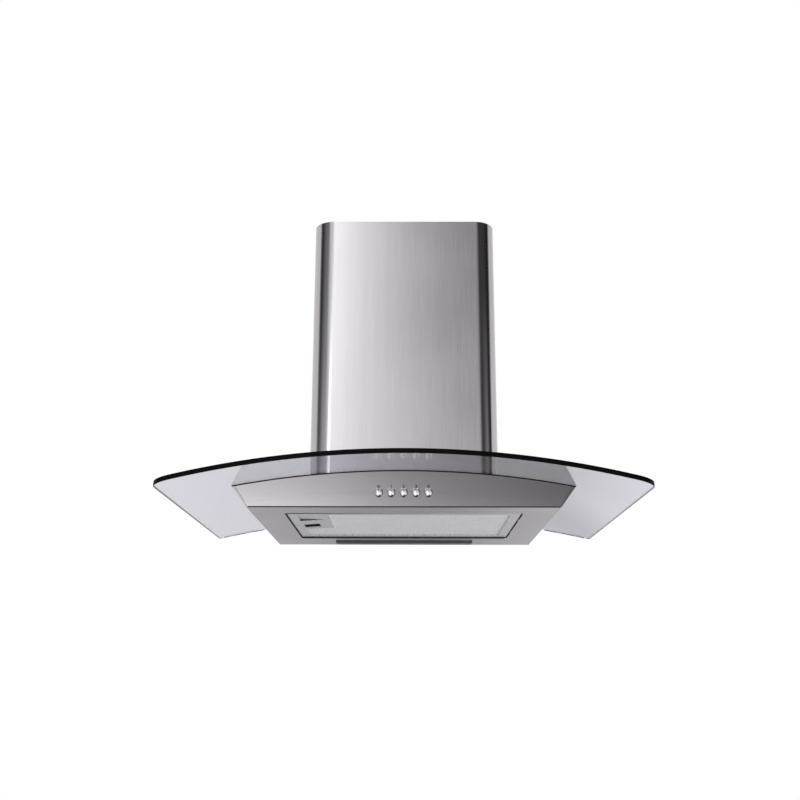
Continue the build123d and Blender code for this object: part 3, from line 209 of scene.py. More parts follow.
def brushed_steel(name, grain, level=1.0, roughness=0.2, anisotropic=0.35):
    """Stainless steel with fine scratches along one axis, "X", "Y" or "Z"."""
    material, tree, shader = new_material(name)
    fine, fine_along, broad, broad_along = 1500.0, 14.0, 90.0, 1.5
    fine_scale = tuple(fine_along if axis == grain else fine for axis in "XYZ")
    broad_scale = tuple(broad_along if axis == grain else broad for axis in "XYZ")
    scratches = noise(tree, local_place(tree, fine_scale), detail=2.0, roughness=0.6)
    streaks = noise(tree, local_place(tree, broad_scale), detail=4.0, roughness=0.6)
    clouds = noise(tree, local_place(tree), scale=7.0, detail=3.0)
    light = tuple((1 + STEEL_SPREAD) * level * part for part in STEEL)
    dark = tuple((1 - STEEL_SPREAD) * level * part for part in STEEL)
    tone = math(tree, "ADD", math(tree, "MULTIPLY", scratches, 0.5), math(tree, "MULTIPLY", streaks, 0.5))
    tone = spread(tree, tone, 0.0, 1.0)
    plug(tree, shader, Base_Color=mix_colour(tree, tone, dark, light), Metallic=1.0)
    rough = math(tree, "ADD", spread(tree, scratches, -0.025, 0.025),
                 spread(tree, clouds, roughness - 0.015, roughness + 0.02))
    plug(tree, shader, Roughness=rough, Anisotropic=anisotropic)
    plug(tree, shader, Normal=bump(tree, scratches, 0.004 * MM, 0.5))
    axis = {"X": "Z", "Y": "X", "Z": "Z"}[grain]
    tangent = node(tree, "ShaderNodeTangent", {"direction_type": "RADIAL", "axis": axis}).outputs["Tangent"]
    plug(tree, shader, Tangent=tangent)
    return material


def clear_glass():
    """Lightly tinted tempered glass with the faint waves of the rollers."""
    material, tree, shader = new_material("tempered_glass")
    waves = noise(tree, local_place(tree, (3.0, 9.0, 3.0)), detail=1.0)
    tint = mix_colour(tree, waves, (0.79, 0.78, 0.85), (0.81, 0.80, 0.87))
    plug(tree, shader, Base_Color=tint, Roughness=0.0, IOR=1.5, Transmission_Weight=1.0)
    plug(tree, shader, Normal=bump(tree, waves, 0.03 * MM, 0.3))
    return material


def edge_enamel():
    """Dull black for the glass's edges, which look black: a painted dark reflection, standing in for how the
    ground edges look.
    """
    material, tree, shader = new_material("edge_enamel")
    grain = noise(tree, local_place(tree), scale=900.0, detail=2.0)
    plug(tree, shader, Base_Color=mix_colour(tree, grain, (0.001, 0.001, 0.0012), (0.003, 0.003, 0.0035)))
    plug(tree, shader, Roughness=spread(tree, grain, 0.35, 0.5), Specular_IOR_Level=0.04)
    plug(tree, shader, Normal=bump(tree, grain, 0.01 * MM, 0.4))
    return material


def rubber():
    """Black rubber with a faint bloom."""
    material, tree, shader = new_material("black_rubber")
    grain = noise(tree, local_place(tree), scale=1400.0, detail=4.0)
    bloom = noise(tree, local_place(tree), scale=60.0, detail=3.0)
    plug(tree, shader, Base_Color=mix_colour(tree, bloom, (0.004, 0.004, 0.0045), (0.010, 0.010, 0.011)))
    plug(tree, shader, Roughness=spread(tree, grain, 0.6, 0.8), Specular_IOR_Level=0.2)
    plug(tree, shader, Normal=bump(tree, grain, 0.03 * MM, 0.6))
    return material


def galvanised():
    """Zinc-coated sheet with its crystal spangle."""
    material, tree, shader = new_material("galvanised_sheet")
    place = local_place(tree)
    warp = node(tree, "ShaderNodeTexNoise", Vector=place, Scale=90.0, Detail=2.0).outputs["Color"]
    warp_reach = 6 * MM
    bent = vector_math(tree, "MULTIPLY_ADD", warp, (warp_reach,) * 3, place)
    cells = node(tree, "ShaderNodeTexVoronoi", Vector=bent, Scale=95.0)
    tone = node(tree, "ShaderNodeSeparateColor", Color=cells.outputs["Color"]).outputs["Red"]
    feathers = noise(tree, local_place(tree, (400.0, 400.0, 400.0)), detail=3.0)
    mixed = math(tree, "ADD", math(tree, "MULTIPLY", tone, 0.75), math(tree, "MULTIPLY", feathers, 0.25))
    plug(tree, shader, Base_Color=mix_colour(tree, mixed, (0.46, 0.47, 0.485), (0.62, 0.63, 0.64)))
    plug(tree, shader, Metallic=1.0, Roughness=map_range(tree, mixed, 0.0, 1.0, 0.34, 0.52))
    plug(tree, shader, Normal=bump(tree, mixed, 0.02 * MM, 0.5))
    return material


def plated(name, dark, light, roughness, scale=500.0, metallic=1.0):
    """Plated, rolled or turned metal with fine wear."""
    material, tree, shader = new_material(name)
    wear = noise(tree, local_place(tree), scale=scale, detail=4.0)
    spots = noise(tree, local_place(tree), scale=scale / 8, detail=2.0)
    tone = math(tree, "MULTIPLY", math(tree, "ADD", wear, spots), 0.5)
    plug(tree, shader, Base_Color=mix_colour(tree, spread(tree, tone, 0.0, 1.0), dark, light))
    low, high = 0.8 * roughness, 1.25 * roughness
    plug(tree, shader, Metallic=metallic, Roughness=spread(tree, wear, low, high))
    plug(tree, shader, Normal=bump(tree, wear, 0.006 * MM, 0.4))
    return material


def pressed_mesh_layers():
    """Stacked mesh sheets: a diamond relief over aluminium, with painted shade in the holes."""
    material, tree, shader = new_material("mesh_layers")
    x, y = parts_of(tree, local_place(tree, (1 / DIAMOND_LONG, 1 / DIAMOND_SHORT, 1.0)))[:2]
    across = math(tree, "PINGPONG", math(tree, "ADD", x, y), 0.5)
    along = math(tree, "PINGPONG", math(tree, "SUBTRACT", x, y), 0.5)
    strand = math(tree, "MULTIPLY", math(tree, "MINIMUM", across, along), 2.0)
    strand_edge, hole_edge = 0.14, 0.26
    hole_and_shade = map_range(tree, strand, strand_edge, hole_edge)
    grain = noise(tree, local_place(tree), scale=700.0, detail=3.0)
    tone = mix_colour(tree, grain, (0.86, 0.86, 0.88), (0.92, 0.92, 0.94))
    # the holes get a darker grey: painted shade of the depth below them, the same mask also drives the
    # relief
    plug(tree, shader, Base_Color=mix_colour(tree, hole_and_shade, tone, (0.57, 0.57, 0.585)))
    plug(tree, shader, Metallic=0.3, Roughness=0.5)
    plug(tree, shader, Normal=bump(tree, math(tree, "SUBTRACT", 1.0, hole_and_shade), 0.4 * MM, 0.8))
    return material


def moulded(name, dark, light, roughness, grain_scale=1600.0, specular=0.5):
    """Moulded plastic or paint with a fine grain."""
    material, tree, shader = new_material(name)
    grain = noise(tree, local_place(tree), scale=grain_scale, detail=3.0)
    flow = noise(tree, local_place(tree, (10.0, 10.0, 30.0)), detail=3.0)
    plug(tree, shader, Base_Color=mix_colour(tree, spread(tree, flow, 0.0, 1.0), dark, light))
    plug(tree, shader, Roughness=spread(tree, grain, roughness - 0.08, roughness + 0.08))
    plug(tree, shader, Specular_IOR_Level=specular)
    plug(tree, shader, Normal=bump(tree, grain, 0.02 * MM, 0.5))
    return material


def lamp_diffuser():
    """Near-black lamp cover with fine prisms along it: its dark colour is painted shade of the lamp's unlit
    inside.
    """
    material, tree, shader = new_material("lamp_cover")
    prisms = node(tree, "ShaderNodeTexWave", {"bands_direction": "X", "wave_profile": "TRI"},
                  Vector=local_place(tree), Scale=160.0).outputs["Fac"]
    cloud = noise(tree, local_place(tree), scale=40.0)
    # near-black colour: painted shade of the lamp's inside
    plug(tree, shader, Base_Color=mix_colour(tree, cloud, (0.045, 0.045, 0.048), (0.065, 0.065, 0.07)))
    plug(tree, shader, Roughness=spread(tree, cloud, 0.3, 0.42), IOR=1.49)
    plug(tree, shader, Normal=bump(tree, prisms, 0.15 * MM, 0.5))
    return material


materials = {
    "chimney_steel": brushed_steel("chimney_steel", "Z", roughness=0.14),
    "panel_steel": brushed_steel("panel_steel", "X"),
    "body_steel": brushed_steel("body_steel", "X", 0.85),
    "glass": clear_glass(),
    # painted dark reflection for the glass's edges
    "edge_reflection": edge_enamel(),
    "rubber": rubber(),
    "galvanised": galvanised(),
    "zinc": plated("bright_zinc", (0.50, 0.50, 0.47), (0.66, 0.66, 0.64), 0.28),
    "steel": plated("ground_steel", (0.48, 0.48, 0.48), (0.62, 0.62, 0.62), 0.2),
    "aluminium": plated("rolled_aluminium", (0.62, 0.62, 0.635), (0.74, 0.74, 0.75), 0.3, 250.0, 0.6),
    "mesh_strands": plated("mesh_strands", (0.84, 0.84, 0.86), (0.93, 0.93, 0.95), 0.4, 250.0, 0.3),
    "layers": pressed_mesh_layers(),
    "chrome": plated("button_chrome", (0.74, 0.74, 0.75), (0.82, 0.82, 0.83), 0.06, 300.0),
    "black": moulded("black_plastic", (0.018, 0.018, 0.019), (0.032, 0.032, 0.034), 0.45),
    "matt_black": moulded("latch_plastic", (0.006, 0.006, 0.0065), (0.012, 0.012, 0.013), 0.7,
                          specular=0.12),
    "grey": moulded("grey_plastic", (0.30, 0.305, 0.31), (0.36, 0.365, 0.37), 0.5),
    "motor": moulded("motor_enamel", (0.035, 0.037, 0.042), (0.055, 0.057, 0.062), 0.35, 600.0),
    "white": moulded("white_enamel", (0.74, 0.74, 0.72), (0.80, 0.80, 0.785), 0.35, 700.0),
    "lamp": lamp_diffuser(),
    "ink": moulded("printed_marks", (0.012, 0.012, 0.013), (0.03, 0.03, 0.032), 0.55),
}

NODE_MATERIALS = {
    "chimney_steel": ["lower_chimney", "upper_chimney"],
    "panel_steel": ["front_panel"],
    "body_steel": ["side_panel_left", "side_panel_right", "underside_plate", "rear_panel", "top_plate"],
    "glass": ["glass_canopy"],
    "rubber": ["glass_gasket", "glass_pads", "motor_grommets"],
    "galvanised": ["motor_box", "motor_box_top", "motor_box_back", "splice_plate", "chimney_bracket",
                   "chimney_clips", "switch_bracket", "capacitor_strap", "motor_bracket"],
    "zinc": ["clamp_nuts", "shaft_nut"],
    "steel": ["motor_shaft", "damper_pin"],
    "aluminium": ["grease_filter_frame", "filter_latch_plate"],
    "layers": ["grease_filter_core"],
    "chrome": ["button_light", "button_speed_1", "button_speed_2", "button_speed_3", "button_off"],
    "matt_black": ["filter_latch"],
    "black": ["switch_block", "outlet_collar", "damper_flap_front", "damper_flap_rear",
              "terminal_box", "terminal_box_lid", "cable_gland"],
    "grey": ["scroll_front", "scroll_rear", "capacitor"],
    "motor": ["motor_housing"],
    "lamp": ["lamp_lens"],
    "white": ["lamp_housing", "lamp_board"],
}


def paint_nodes():
    """Every CAD node gets its material. Where no list names it, screws are zinc and the rest is plastic."""
    named = {name: key for key, names in NODE_MATERIALS.items() for name in names}
    for name, piece in nodes.items():
        key = named.get(name, "zinc" if name.endswith("screws") else "black")
        piece.data.materials.clear()
        piece.data.materials.append(materials[key])


# Helpers for meshes

def make_piece(name, bm, material, body, sharp=radians(35)):
    """A new object from a bmesh, smooth but for sharp edges, riding on a body."""
    bmesh.ops.recalc_face_normals(bm, faces=bm.faces)
    for face in bm.faces:
        face.smooth = True
    for edge in bm.edges:
        edge.smooth = len(edge.link_faces) == 2 and edge.calc_face_angle(0.0) < sharp
    mesh = bpy.data.meshes.new(name)
    bm.to_mesh(mesh)
    bm.free()
    mesh.materials.append(materials[material])
    piece = bpy.data.objects.new(name, mesh)
    bpy.context.scene.collection.objects.link(piece)
    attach(piece, body)
    return piece


def skin_rings(bm, rings, cap=True):
    """Faces between neighbouring rings of points, and over the two ends."""
    rows = [[bm.verts.new(point) for point in ring] for ring in rings]
    count = len(rows[0])
    for low, high in zip(rows, rows[1:]):
        for start in range(count):
            end = (start + 1) % count
            bm.faces.new((low[start], low[end], high[end], high[start]))
    if cap:
        bm.faces.new(rows[0])
        bm.faces.new(rows[-1])


def merge_points(bm, reach=MERGE):
    bmesh.ops.remove_doubles(bm, verts=bm.verts, dist=reach)


def circle(radius, z, count):
    """Points of a circle about Z."""
    turns = [2 * pi * step / count for step in range(count)]
    return [Vector((radius * cos(turn), radius * sin(turn), z)) for turn in turns]


def add_box(bm, low, high):
    """A box between two opposite corners."""
    for vert in bmesh.ops.create_cube(bm, size=1)["verts"]:
        vert.co = Vector((high[axis] if vert.co[axis] > 0 else low[axis]) for axis in range(3))


def panel_frame(x, z):
    """Place on the control panel's outer face: X right, Y up the panel, Z outward."""
    y = -(BASE_FRONT + (z - BASE_Z) * tan(LEAN))
    up = Vector((0, -sin(LEAN), cos(LEAN)))
    out = Vector((0, -cos(LEAN), -sin(LEAN)))
    turn = Matrix((Vector((1, 0, 0)), up, out)).transposed()
    return Matrix.Translation((x, y, z)) @ turn.to_4x4()


# Painted dark reflection on the edges of the glass

def glass_heights(x):
    """Heights of the glass's lower and upper face at x."""
    low = sqrt(ARCH_RADIUS ** 2 - x ** 2)
    high = sqrt((ARCH_RADIUS + GLASS_THICK) ** 2 - x ** 2)
    return CROWN_Z - ARCH_RADIUS + low, CROWN_Z - ARCH_RADIUS + high


def front_edge_path():
    """Points of the canopy's front edge in plan, from the right corner to the left one, each with its
    outward direction."""
    corner_x = CANOPY_HALF - CORNER_RADIUS
    arc_middle = FRONT_RADIUS - CANOPY_DEPTH
    corner_y = arc_middle - sqrt((FRONT_RADIUS - CORNER_RADIUS) ** 2 - corner_x ** 2)
    meet = asin(corner_x / (FRONT_RADIUS - CORNER_RADIUS))
    corner_steps, arc_steps, reach = 14, 120, 0.92
    path = []
    first = pi / 2 * reach
    for step in range(corner_steps):
        turn = first + (meet - first) * step / corner_steps
        out = Vector((sin(turn), -cos(turn)))
        path.append((Vector((corner_x, corner_y)) + CORNER_RADIUS * out, out))
    for step in range(arc_steps + 1):
        turn = meet * (1 - 2 * step / arc_steps)
        out = Vector((sin(turn), -cos(turn)))
        path.append((Vector((0, arc_middle)) + FRONT_RADIUS * out, out))
    mirrored = [(Vector((-p.x, p.y)), Vector((-o.x, o.y))) for p, o in path[:corner_steps]]
    return path + mirrored[::-1]


def glass_front_edge():
    """A thin dark band on the front edge, slightly rounded like a ground edge: a painted dark reflection of
    the glass's edge.
    """
    gap, skin, crown, rows = 0.01 * MM, 0.12 * MM, 0.25 * MM, 6
    bm = bmesh.new()
    rings = []
    for point, out in front_edge_path():
        low, high = glass_heights(point.x)
        ring = [Vector((*(point + gap * out), low)), Vector((*(point + gap * out), high))]
        for row in range(rows + 1):
            share = row / rows
            reach = skin + crown * sin(pi * share)
            ring.append(Vector((*(point + reach * out), high + (low - high) * share)))
        rings.append(ring)
    skin_rings(bm, rings)
    make_piece("glass_front_edge", bm, "edge_reflection", "root")


def glass_rear_edge():
    """A thin skin on the glass's rear edge, and a dark line under that edge where the body doesn't reach:
    both painted dark reflection of the glass's edge.
    """
    gap, skin, half_notch = 0.01 * MM, 0.07 * MM, 135 * MM
    beside_body, line_deep, line_thick = 228 * MM, 6.0 * MM, 0.06 * MM
    end, steps = CANOPY_HALF - 8 * MM, 40
    bm = bmesh.new()
    for side in (-1, 1):
        skin_bars, line_bars = [], []
        for step in range(steps + 1):
            x = side * (half_notch + (end - half_notch) * step / steps)
            low, high = glass_heights(x)
            section = ((gap, low), (skin, low), (skin, high), (gap, high))
            skin_bars.append([Vector((x, y, z)) for y, z in section])
            x = side * (beside_body + (end - beside_body) * step / steps)
            high = glass_heights(x)[0] - gap
            low = high - line_thick
            section = ((-line_deep, low), (0, low), (0, high), (-line_deep, high))
            line_bars.append([Vector((x, y, z)) for y, z in section])
        skin_rings(bm, skin_bars)
        skin_rings(bm, line_bars)
    make_piece("glass_rear_edge", bm, "edge_reflection", "root")


# Expanded mesh of the grease filter

def add_diamond(bm, corner, x, y, middle_z):
    """One diamond of strands round (x, y), its strands tilted as expanding the sheet tilts them. Corners
    are shared with the neighbours."""
    strand, thick, tilt = 0.23, 0.45 * MM, 0.35 * MM
    half_long, half_short = DIAMOND_LONG / 2, DIAMOND_SHORT / 2
    around = [(x - half_long, y), (x, y - half_short), (x + half_long, y), (x, y + half_short)]
    lifts = [0, -tilt / 2, 0, tilt / 2]
    inner = {}
    for side in (-1, 1):
        z = middle_z + side * thick / 2
        outer = [corner(px, py, z) for px, py in around]
        points = [((1 - strand) * px + strand * x, (1 - strand) * py + strand * y) for px, py in around]
        inner[side] = [bm.verts.new((px, py, z + lift)) for (px, py), lift in zip(points, lifts)]
        for start in range(4):
            end = (start + 1) % 4
            bm.faces.new((outer[start], outer[end], inner[side][end], inner[side][start]))
    for start in range(4):
        end = (start + 1) % 4
        bm.faces.new((inner[-1][start], inner[-1][end], inner[1][end], inner[1][start]))


def close_rim(bm):
    """Faces between the open edges of the lower and the upper side."""
    pairs = {}
    for edge in [edge for edge in bm.edges if len(edge.link_faces) == 1]:
        key = frozenset((round(vert.co.x, 6), round(vert.co.y, 6)) for vert in edge.verts)
        pairs.setdefault(key, []).append(edge)
    for pair in pairs.values():
        if len(pair) == 2:
            (a, b), (c, d) = pair[0].verts, pair[1].verts
            if (a.co.xy - c.co.xy).length > MERGE:
                c, d = d, c
            bm.faces.new((a, b, d, c))


def filter_mesh():
    """Expanded aluminium: diamonds in a staggered pattern, but for the place of the latch plate, and a
    flat strip behind the open edge beside that plate."""
    low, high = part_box("grease_filter_mesh")
    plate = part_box("filter_latch_plate")[1]
    half_long, half_short = DIAMOND_LONG / 2, DIAMOND_SHORT / 2
    columns = int((high.x - low.x) / DIAMOND_LONG)
    rows = int((high.y - low.y) / DIAMOND_SHORT)
    start_x = (low.x + high.x - columns * DIAMOND_LONG) / 2
    start_y = (low.y + high.y - rows * DIAMOND_SHORT) / 2
    open_from, open_to, front_inset, rear_over = 0.1 * MM, 4.4 * MM, 2 * MM, 3 * MM
    strip_low, strip_high = 0.05 * MM, 0.3 * MM
    bm = bmesh.new()
    corners = {}

    def corner(x, y, z):
        key = (round(x / DIAMOND_LONG * 4), round(y / DIAMOND_SHORT * 4), z)
        if key not in corners:
            corners[key] = bm.verts.new((x, y, z))
        return corners[key]

    for column in range(2 * columns - 1):
        for row in range(2 * rows - 1):
            x, y = start_x + (column + 1) * half_long, start_y + (row + 1) * half_short
            under_plate = x < plate.x + half_long and y < plate.y + half_short
            if (column + row) % 2 == 0 and not under_plate:
                add_diamond(bm, corner, x, y, (low.z + high.z) / 2)
    close_rim(bm)
    add_box(bm, (plate.x + open_from, low.y + front_inset, high.z + strip_low),
            (plate.x + open_to, plate.y + rear_over, high.z + strip_high))
    mesh = make_piece("filter_expanded_mesh", bm, "mesh_strands", "grease_filter",
                      radians(20))
    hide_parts("grease_filter_mesh")


# Painted shade in joints and gaps, and the glass's gasket

def panel_foot_seam():
    """Black strip along the foot of the control panel: painted shadow in the joint there."""
    half, height, proud, sunk, steps = 200.0 * MM, 1.5 * MM, 0.12 * MM, 0.02 * MM, 40
    section = [(0, -sunk), (height, -sunk), (height - proud, proud), (proud, proud)]
    bm = bmesh.new()
    rings = []
    for step in range(steps + 1):
        place = panel_frame(half * (2 * step / steps - 1), BASE_Z)
        rings.append([place @ Vector((0, up, out)) for up, out in section])
    skin_rings(bm, rings)
    # black rubber stands in for the painted shadow
    make_piece("panel_foot_seam", bm, "rubber", "root")


def rounded_loop(low, high, radius, z, steps=8):
    """Points of a rectangle with rounded corners at height z."""
    corners = [(high.x, high.y, 0), (low.x, high.y, 1), (low.x, low.y, 2), (high.x, low.y, 3)]
    points = []
    for x, y, quarter in corners:
        centre = Vector((x - radius * (1 if x == high.x else -1), y - radius * (1 if y == high.y else -1)))
        for step in range(steps + 1):
            turn = pi / 2 * (quarter + step / steps)
            points.append(Vector((centre.x + radius * cos(turn), centre.y + radius * sin(turn), z)))
    return points


def filter_seal():
    """Black bead round the grease filter's face, in the gap to the body: painted shade of that gap. It hangs
    lower towards the wall and at the front left corner, and stays thin near the hinge at the right end, to
    swing clear."""
    low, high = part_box("grease_filter_frame")
    # The box holds the hinge too, so the right end of the face is taken from the left one
    left, right, front, rear = low.x, -low.x, low.y, high.y
    reach, right_reach, inside, radius = 1.3 * MM, 0.5 * MM, 0.4 * MM, 4 * MM
    deep, shallow, corner_deep, corner_reach = 2.1 * MM, 0.45 * MM, 1.1 * MM, 70 * MM
    hinge_deep, hinge_slope, crest, shoulder = 0.3 * MM, 0.5, 0.3 * MM, 0.6
    clear = 0.02 * MM
    z = low.z - clear
    sections = [(-inside, 0.0), (-inside, shoulder), (crest, 1.0), (reach, shoulder), (reach, 0.0)]
    bm = bmesh.new()
    rings = []
    for out, share in sections:
        right_out = out * right_reach / reach if out > 0 else out
        near, far = Vector((left - out, front - out, 0)), Vector((right + right_out, rear + out, 0))
        ring = rounded_loop(near, far, radius + out, z)
        for point in ring:
            along = min(max((point.y - front) / (rear - front), 0.0), 1.0)
            near_left = max(1 - (point.x - near.x) / corner_reach, 0.0) * (1 - along)
            depth = shallow + (deep - shallow) * along + corner_deep * near_left
            point.z -= share * min(depth, hinge_deep + hinge_slope * max(right - point.x, 0.0))
        rings.append(ring)
    skin_rings(bm, rings + rings[:1], cap=False)
    merge_points(bm)
    # black rubber stands in for the painted shade of the gap
    make_piece("filter_seal", bm, "rubber", "grease_filter")


def latch_slot():
    """Black strip up the step in the latch plate, where the ramp behind it drops to the left: painted shade
    on the step's face.
    """
    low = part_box("filter_latch_plate")[0]
    proud, sunk, steps = 0.1 * MM, 0.02 * MM, 24
    front, back = LATCH_STEP_Y - proud, LATCH_STEP_Y + sunk
    over = low.z + LATCH_DROP
    bm = bmesh.new()
    rings = []
    for step in range(steps):
        share = step / steps
        x = low.x + (LATCH_RAMP_END - low.x) * share
        under = low.z + LATCH_DROP * share + sunk
        section = ((back, over), (back, under), (front, under), (front, over))
        rings.append([Vector((x, y, z)) for y, z in section])
    skin_rings(bm, rings)
    # black rubber stands in for the painted shade of the step
    make_piece("latch_slot", bm, "rubber", "grease_filter")


def clear_gasket():
    """The gasket with its top a little under the glass, whose facets differ from its own."""
    down, upward = 0.14 * MM, 0.5
    bm = bmesh.new()
    bm.from_mesh(nodes["glass_gasket"].data)
    bm.normal_update()
    for vert in bm.verts:
        if any(face.normal.z > upward for face in vert.link_faces):
            vert.co.z -= down
    piece = make_piece("body_gasket", bm, "rubber", "root")
    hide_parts("glass_gasket")


# Pan-head screws with a cross recess, in the places of the CAD model's plain ones

def solids_of(name):
    """The separate solids of a node, each as a list of its corners."""
    bm = bmesh.new()
    bm.from_mesh(nodes[name].data)
    merge_points(bm)
    left = set(bm.verts)
    solids = []
    while left:
        todo, found = [left.pop()], []
        while todo:
            vert = todo.pop()
            found.append(vert.co.copy())
            for edge in vert.link_edges:
                other = edge.other_vert(vert)
                if other in left:
                    left.remove(other)
                    todo.append(other)
        solids.append(found)
    bm.free()
    return sorted(solids, key=lambda corners: [round(value, 5) for value in corners[0]])


def screw_sizes(corners):
    """Where a plain screw's head meets its shank, the way out of the head, and its four sizes."""
    low = Vector([min(corner[axis] for corner in corners) for axis in range(3)])
    high = Vector([max(corner[axis] for corner in corners) for axis in range(3)])
    size, middle = high - low, (low + high) / 2
    along = min(range(3), key=lambda axis: abs(size[(axis + 1) % 3] - size[(axis + 2) % 3]))
    sides = [axis for axis in range(3) if axis != along]
    near_rim, near_axis = 0.97, 0.2

    def radius(corner):
        return sqrt(sum((corner[axis] - middle[axis]) ** 2 for axis in sides))

    head_radius = max(radius(corner) for corner in corners)
    head = [corner[along] for corner in corners if radius(corner) > near_rim * head_radius]
    shank_radius = min(radius(corner) for corner in corners if radius(corner) > near_axis * head_radius)
    upward = abs(max(head) - high[along]) < abs(min(head) - low[along])
    under = min(head) if upward else max(head)
    start = middle.copy()
    start[along] = under
    out = Vector((0, 0, 0))
    out[along] = 1 if upward else -1
    height = max(head) - min(head)
    return start, out, head_radius, height, shank_radius, size[along] - height


def mesh_from(bm, name):
    mesh = bpy.data.meshes.new(name)
    bm.to_mesh(mesh)
    bm.free()
    return mesh


def screw_body(head_radius, height, shank_radius, length):
    """A pan head on a threaded shank: head up, shank down from z = 0."""
    rim_share, head_steps, count = 0.45, 8, 40
    pitch, root_share, neck, underside_share = 0.5 * MM, 0.82, 0.02 * MM, 0.98
    turns = [pi / 2 * step / head_steps for step in range(head_steps)]
    head = [(head_radius * cos(turn), height * (rim_share + (1 - rim_share) * sin(turn))) for turn in turns]
    thread = []
    for step in range(int(length / pitch)):
        z = -length + step * pitch
        thread += [(root_share * shank_radius, z), (shank_radius, z + pitch / 2)]
    shoulder = [(shank_radius, -neck), (underside_share * head_radius, 0)]
    bm = bmesh.new()
    skin_rings(bm, [circle(radius, z, count) for radius, z in thread + shoulder + head])
    bmesh.ops.recalc_face_normals(bm, faces=bm.faces)
    return mesh_from(bm, "screw_body")


def screw_cross(head_radius, height):
    """The two tapered bars of a cross recess, one a little higher, so that their ends don't coincide."""
    long, wide, deep, taper, middle, higher = 1.15, 0.24, 1.2, 0.6, 0.95, 0.02 * MM
    bm = bmesh.new()
    for turn, lift in ((0, 0), (pi / 2, higher)):
        bar = bmesh.ops.create_cube(bm, size=1.0)["verts"]
        size = Matrix.Diagonal((long * head_radius, wide * head_radius, deep * height, 1))
        bmesh.ops.transform(bm, verts=bar, matrix=Matrix.Rotation(turn, 4, "Z") @ size)
        for vert in bar:
            if vert.co.z < 0:
                vert.co.xy *= taper
        bmesh.ops.translate(bm, verts=bar, vec=(0, 0, middle * height + lift))
    return mesh_from(bm, "screw_cross")


def screw_shape(head_radius, height, shank_radius, length):
    """A screw body with its cross recess cut out."""
    cutter = bpy.data.objects.new("screw_cross", screw_cross(head_radius, height))
    blank = bpy.data.objects.new("screw_body", screw_body(head_radius, height, shank_radius, length))
    for piece in (cutter, blank):
        bpy.context.scene.collection.objects.link(piece)
    cut = blank.modifiers.new("cut", "BOOLEAN")
    cut.operation, cut.object, cut.solver = "DIFFERENCE", cutter, "EXACT"
    cut.use_self = True
    shape = bpy.data.meshes.new_from_object(blank.evaluated_get(bpy.context.evaluated_depsgraph_get()))
    for piece in (cutter, blank):
        bpy.data.objects.remove(piece)
    return shape


def detailed_screws(name):
    """Screws with all their detail in the places of a node's plain ones."""
    bm = bmesh.new()
    shapes = {}
    for corners in solids_of(name):
        start, out, *sizes = screw_sizes(corners)
        key = tuple(round(size / MM, 1) for size in sizes)
        if key not in shapes:
            shapes[key] = screw_shape(*sizes)
        before = len(bm.verts)
        bm.from_mesh(shapes[key])
        bm.verts.ensure_lookup_table()
        place = Matrix.Translation(start) @ out.to_track_quat("Z", "Y").to_matrix().to_4x4()
        bmesh.ops.transform(bm, matrix=place, verts=bm.verts[before:])
    body = nodes[name].parent.name.removeprefix("body:")
    piece = make_piece("cross_" + name, bm, "zinc", body)
    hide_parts(name)


# Marks above the buttons: a lamp symbol and plain figures

def figure_mark(name, text, place):
    """One printed figure as a thin mesh on the panel."""
    height, thick, bolder = 6.2 * MM, 0.03 * MM, 0.16 * MM
    curve = bpy.data.curves.new(name, "FONT")
    curve.body = text
    curve.size = height
    curve.extrude = thick
    curve.offset = bolder
    curve.align_x = "CENTER"
    curve.align_y = "CENTER"
    text_object = bpy.data.objects.new(name + "_text", curve)
    bpy.context.scene.collection.objects.link(text_object)
    bpy.context.view_layer.update()
    mesh = bpy.data.meshes.new_from_object(text_object.evaluated_get(bpy.context.evaluated_depsgraph_get()))
    bpy.data.objects.remove(text_object)
    bpy.data.curves.remove(curve)
    bm = bmesh.new()
    bm.from_mesh(mesh)
    bpy.data.meshes.remove(mesh)
    merge_points(bm, 2 * MERGE)
    bm.transform(place @ Matrix.Translation((0, 0, thick)))
    make_piece(name, bm, "ink", "root")


def lamp_mark(name, place):
    """A lamp symbol: a ring with a cross in it."""
    outer, inner, bar, thick, arm_share, count = 2.2 * MM, 1.6 * MM, 0.26 * MM, 0.06 * MM, 0.8, 40
    bm = bmesh.new()
    section = [(outer, 0), (outer, thick), (inner, thick), (inner, 0), (outer, 0)]
    skin_rings(bm, [circle(radius, z, count) for radius, z in section], cap=False)
    merge_points(bm)
    for turn in (pi / 4, -pi / 4):
        arm = bmesh.ops.create_cube(bm, size=1.0)["verts"]
        size = Matrix.Diagonal((2 * inner, 2 * bar, arm_share * thick, 1))
        shape = Matrix.Rotation(turn, 4, "Z") @ size
        bmesh.ops.transform(bm, matrix=Matrix.Translation((0, 0, thick / 2)) @ shape, verts=arm)
    bm.transform(place)
    make_piece(name, bm, "ink", "root")


def button_marks():
    """A mark over each button, a little above its rim."""
    rise = 8.2 * MM
    z = BUTTON_Z + rise * cos(LEAN)
    for number, text in enumerate(["", "1", "2", "3", "0"]):
        place = panel_frame((number - 2) * BUTTON_PITCH, z)
        if text:
            figure_mark("mark_" + text, text, place)
        else:
            lamp_mark("mark_lamp", place)


# Stage: floor, reflector card, lights and world

def stage_plane(name, half_x, y0, y1, z):
    """A level rectangle that belongs to the stage, not to the hood."""
    mesh = bpy.data.meshes.new(name)
    corners = [(-half_x, y0, z), (half_x, y0, z), (half_x, y1, z), (-half_x, y1, z)]
    mesh.from_pydata(corners, [], [(0, 1, 2, 3)])
    plane = bpy.data.objects.new(name, mesh)
    bpy.context.scene.collection.objects.link(plane)
    return plane


def mix_shader(tree, factor, first, second):
    return node(tree, "ShaderNodeMixShader", Fac=factor, n1=first, n2=second).outputs[0]


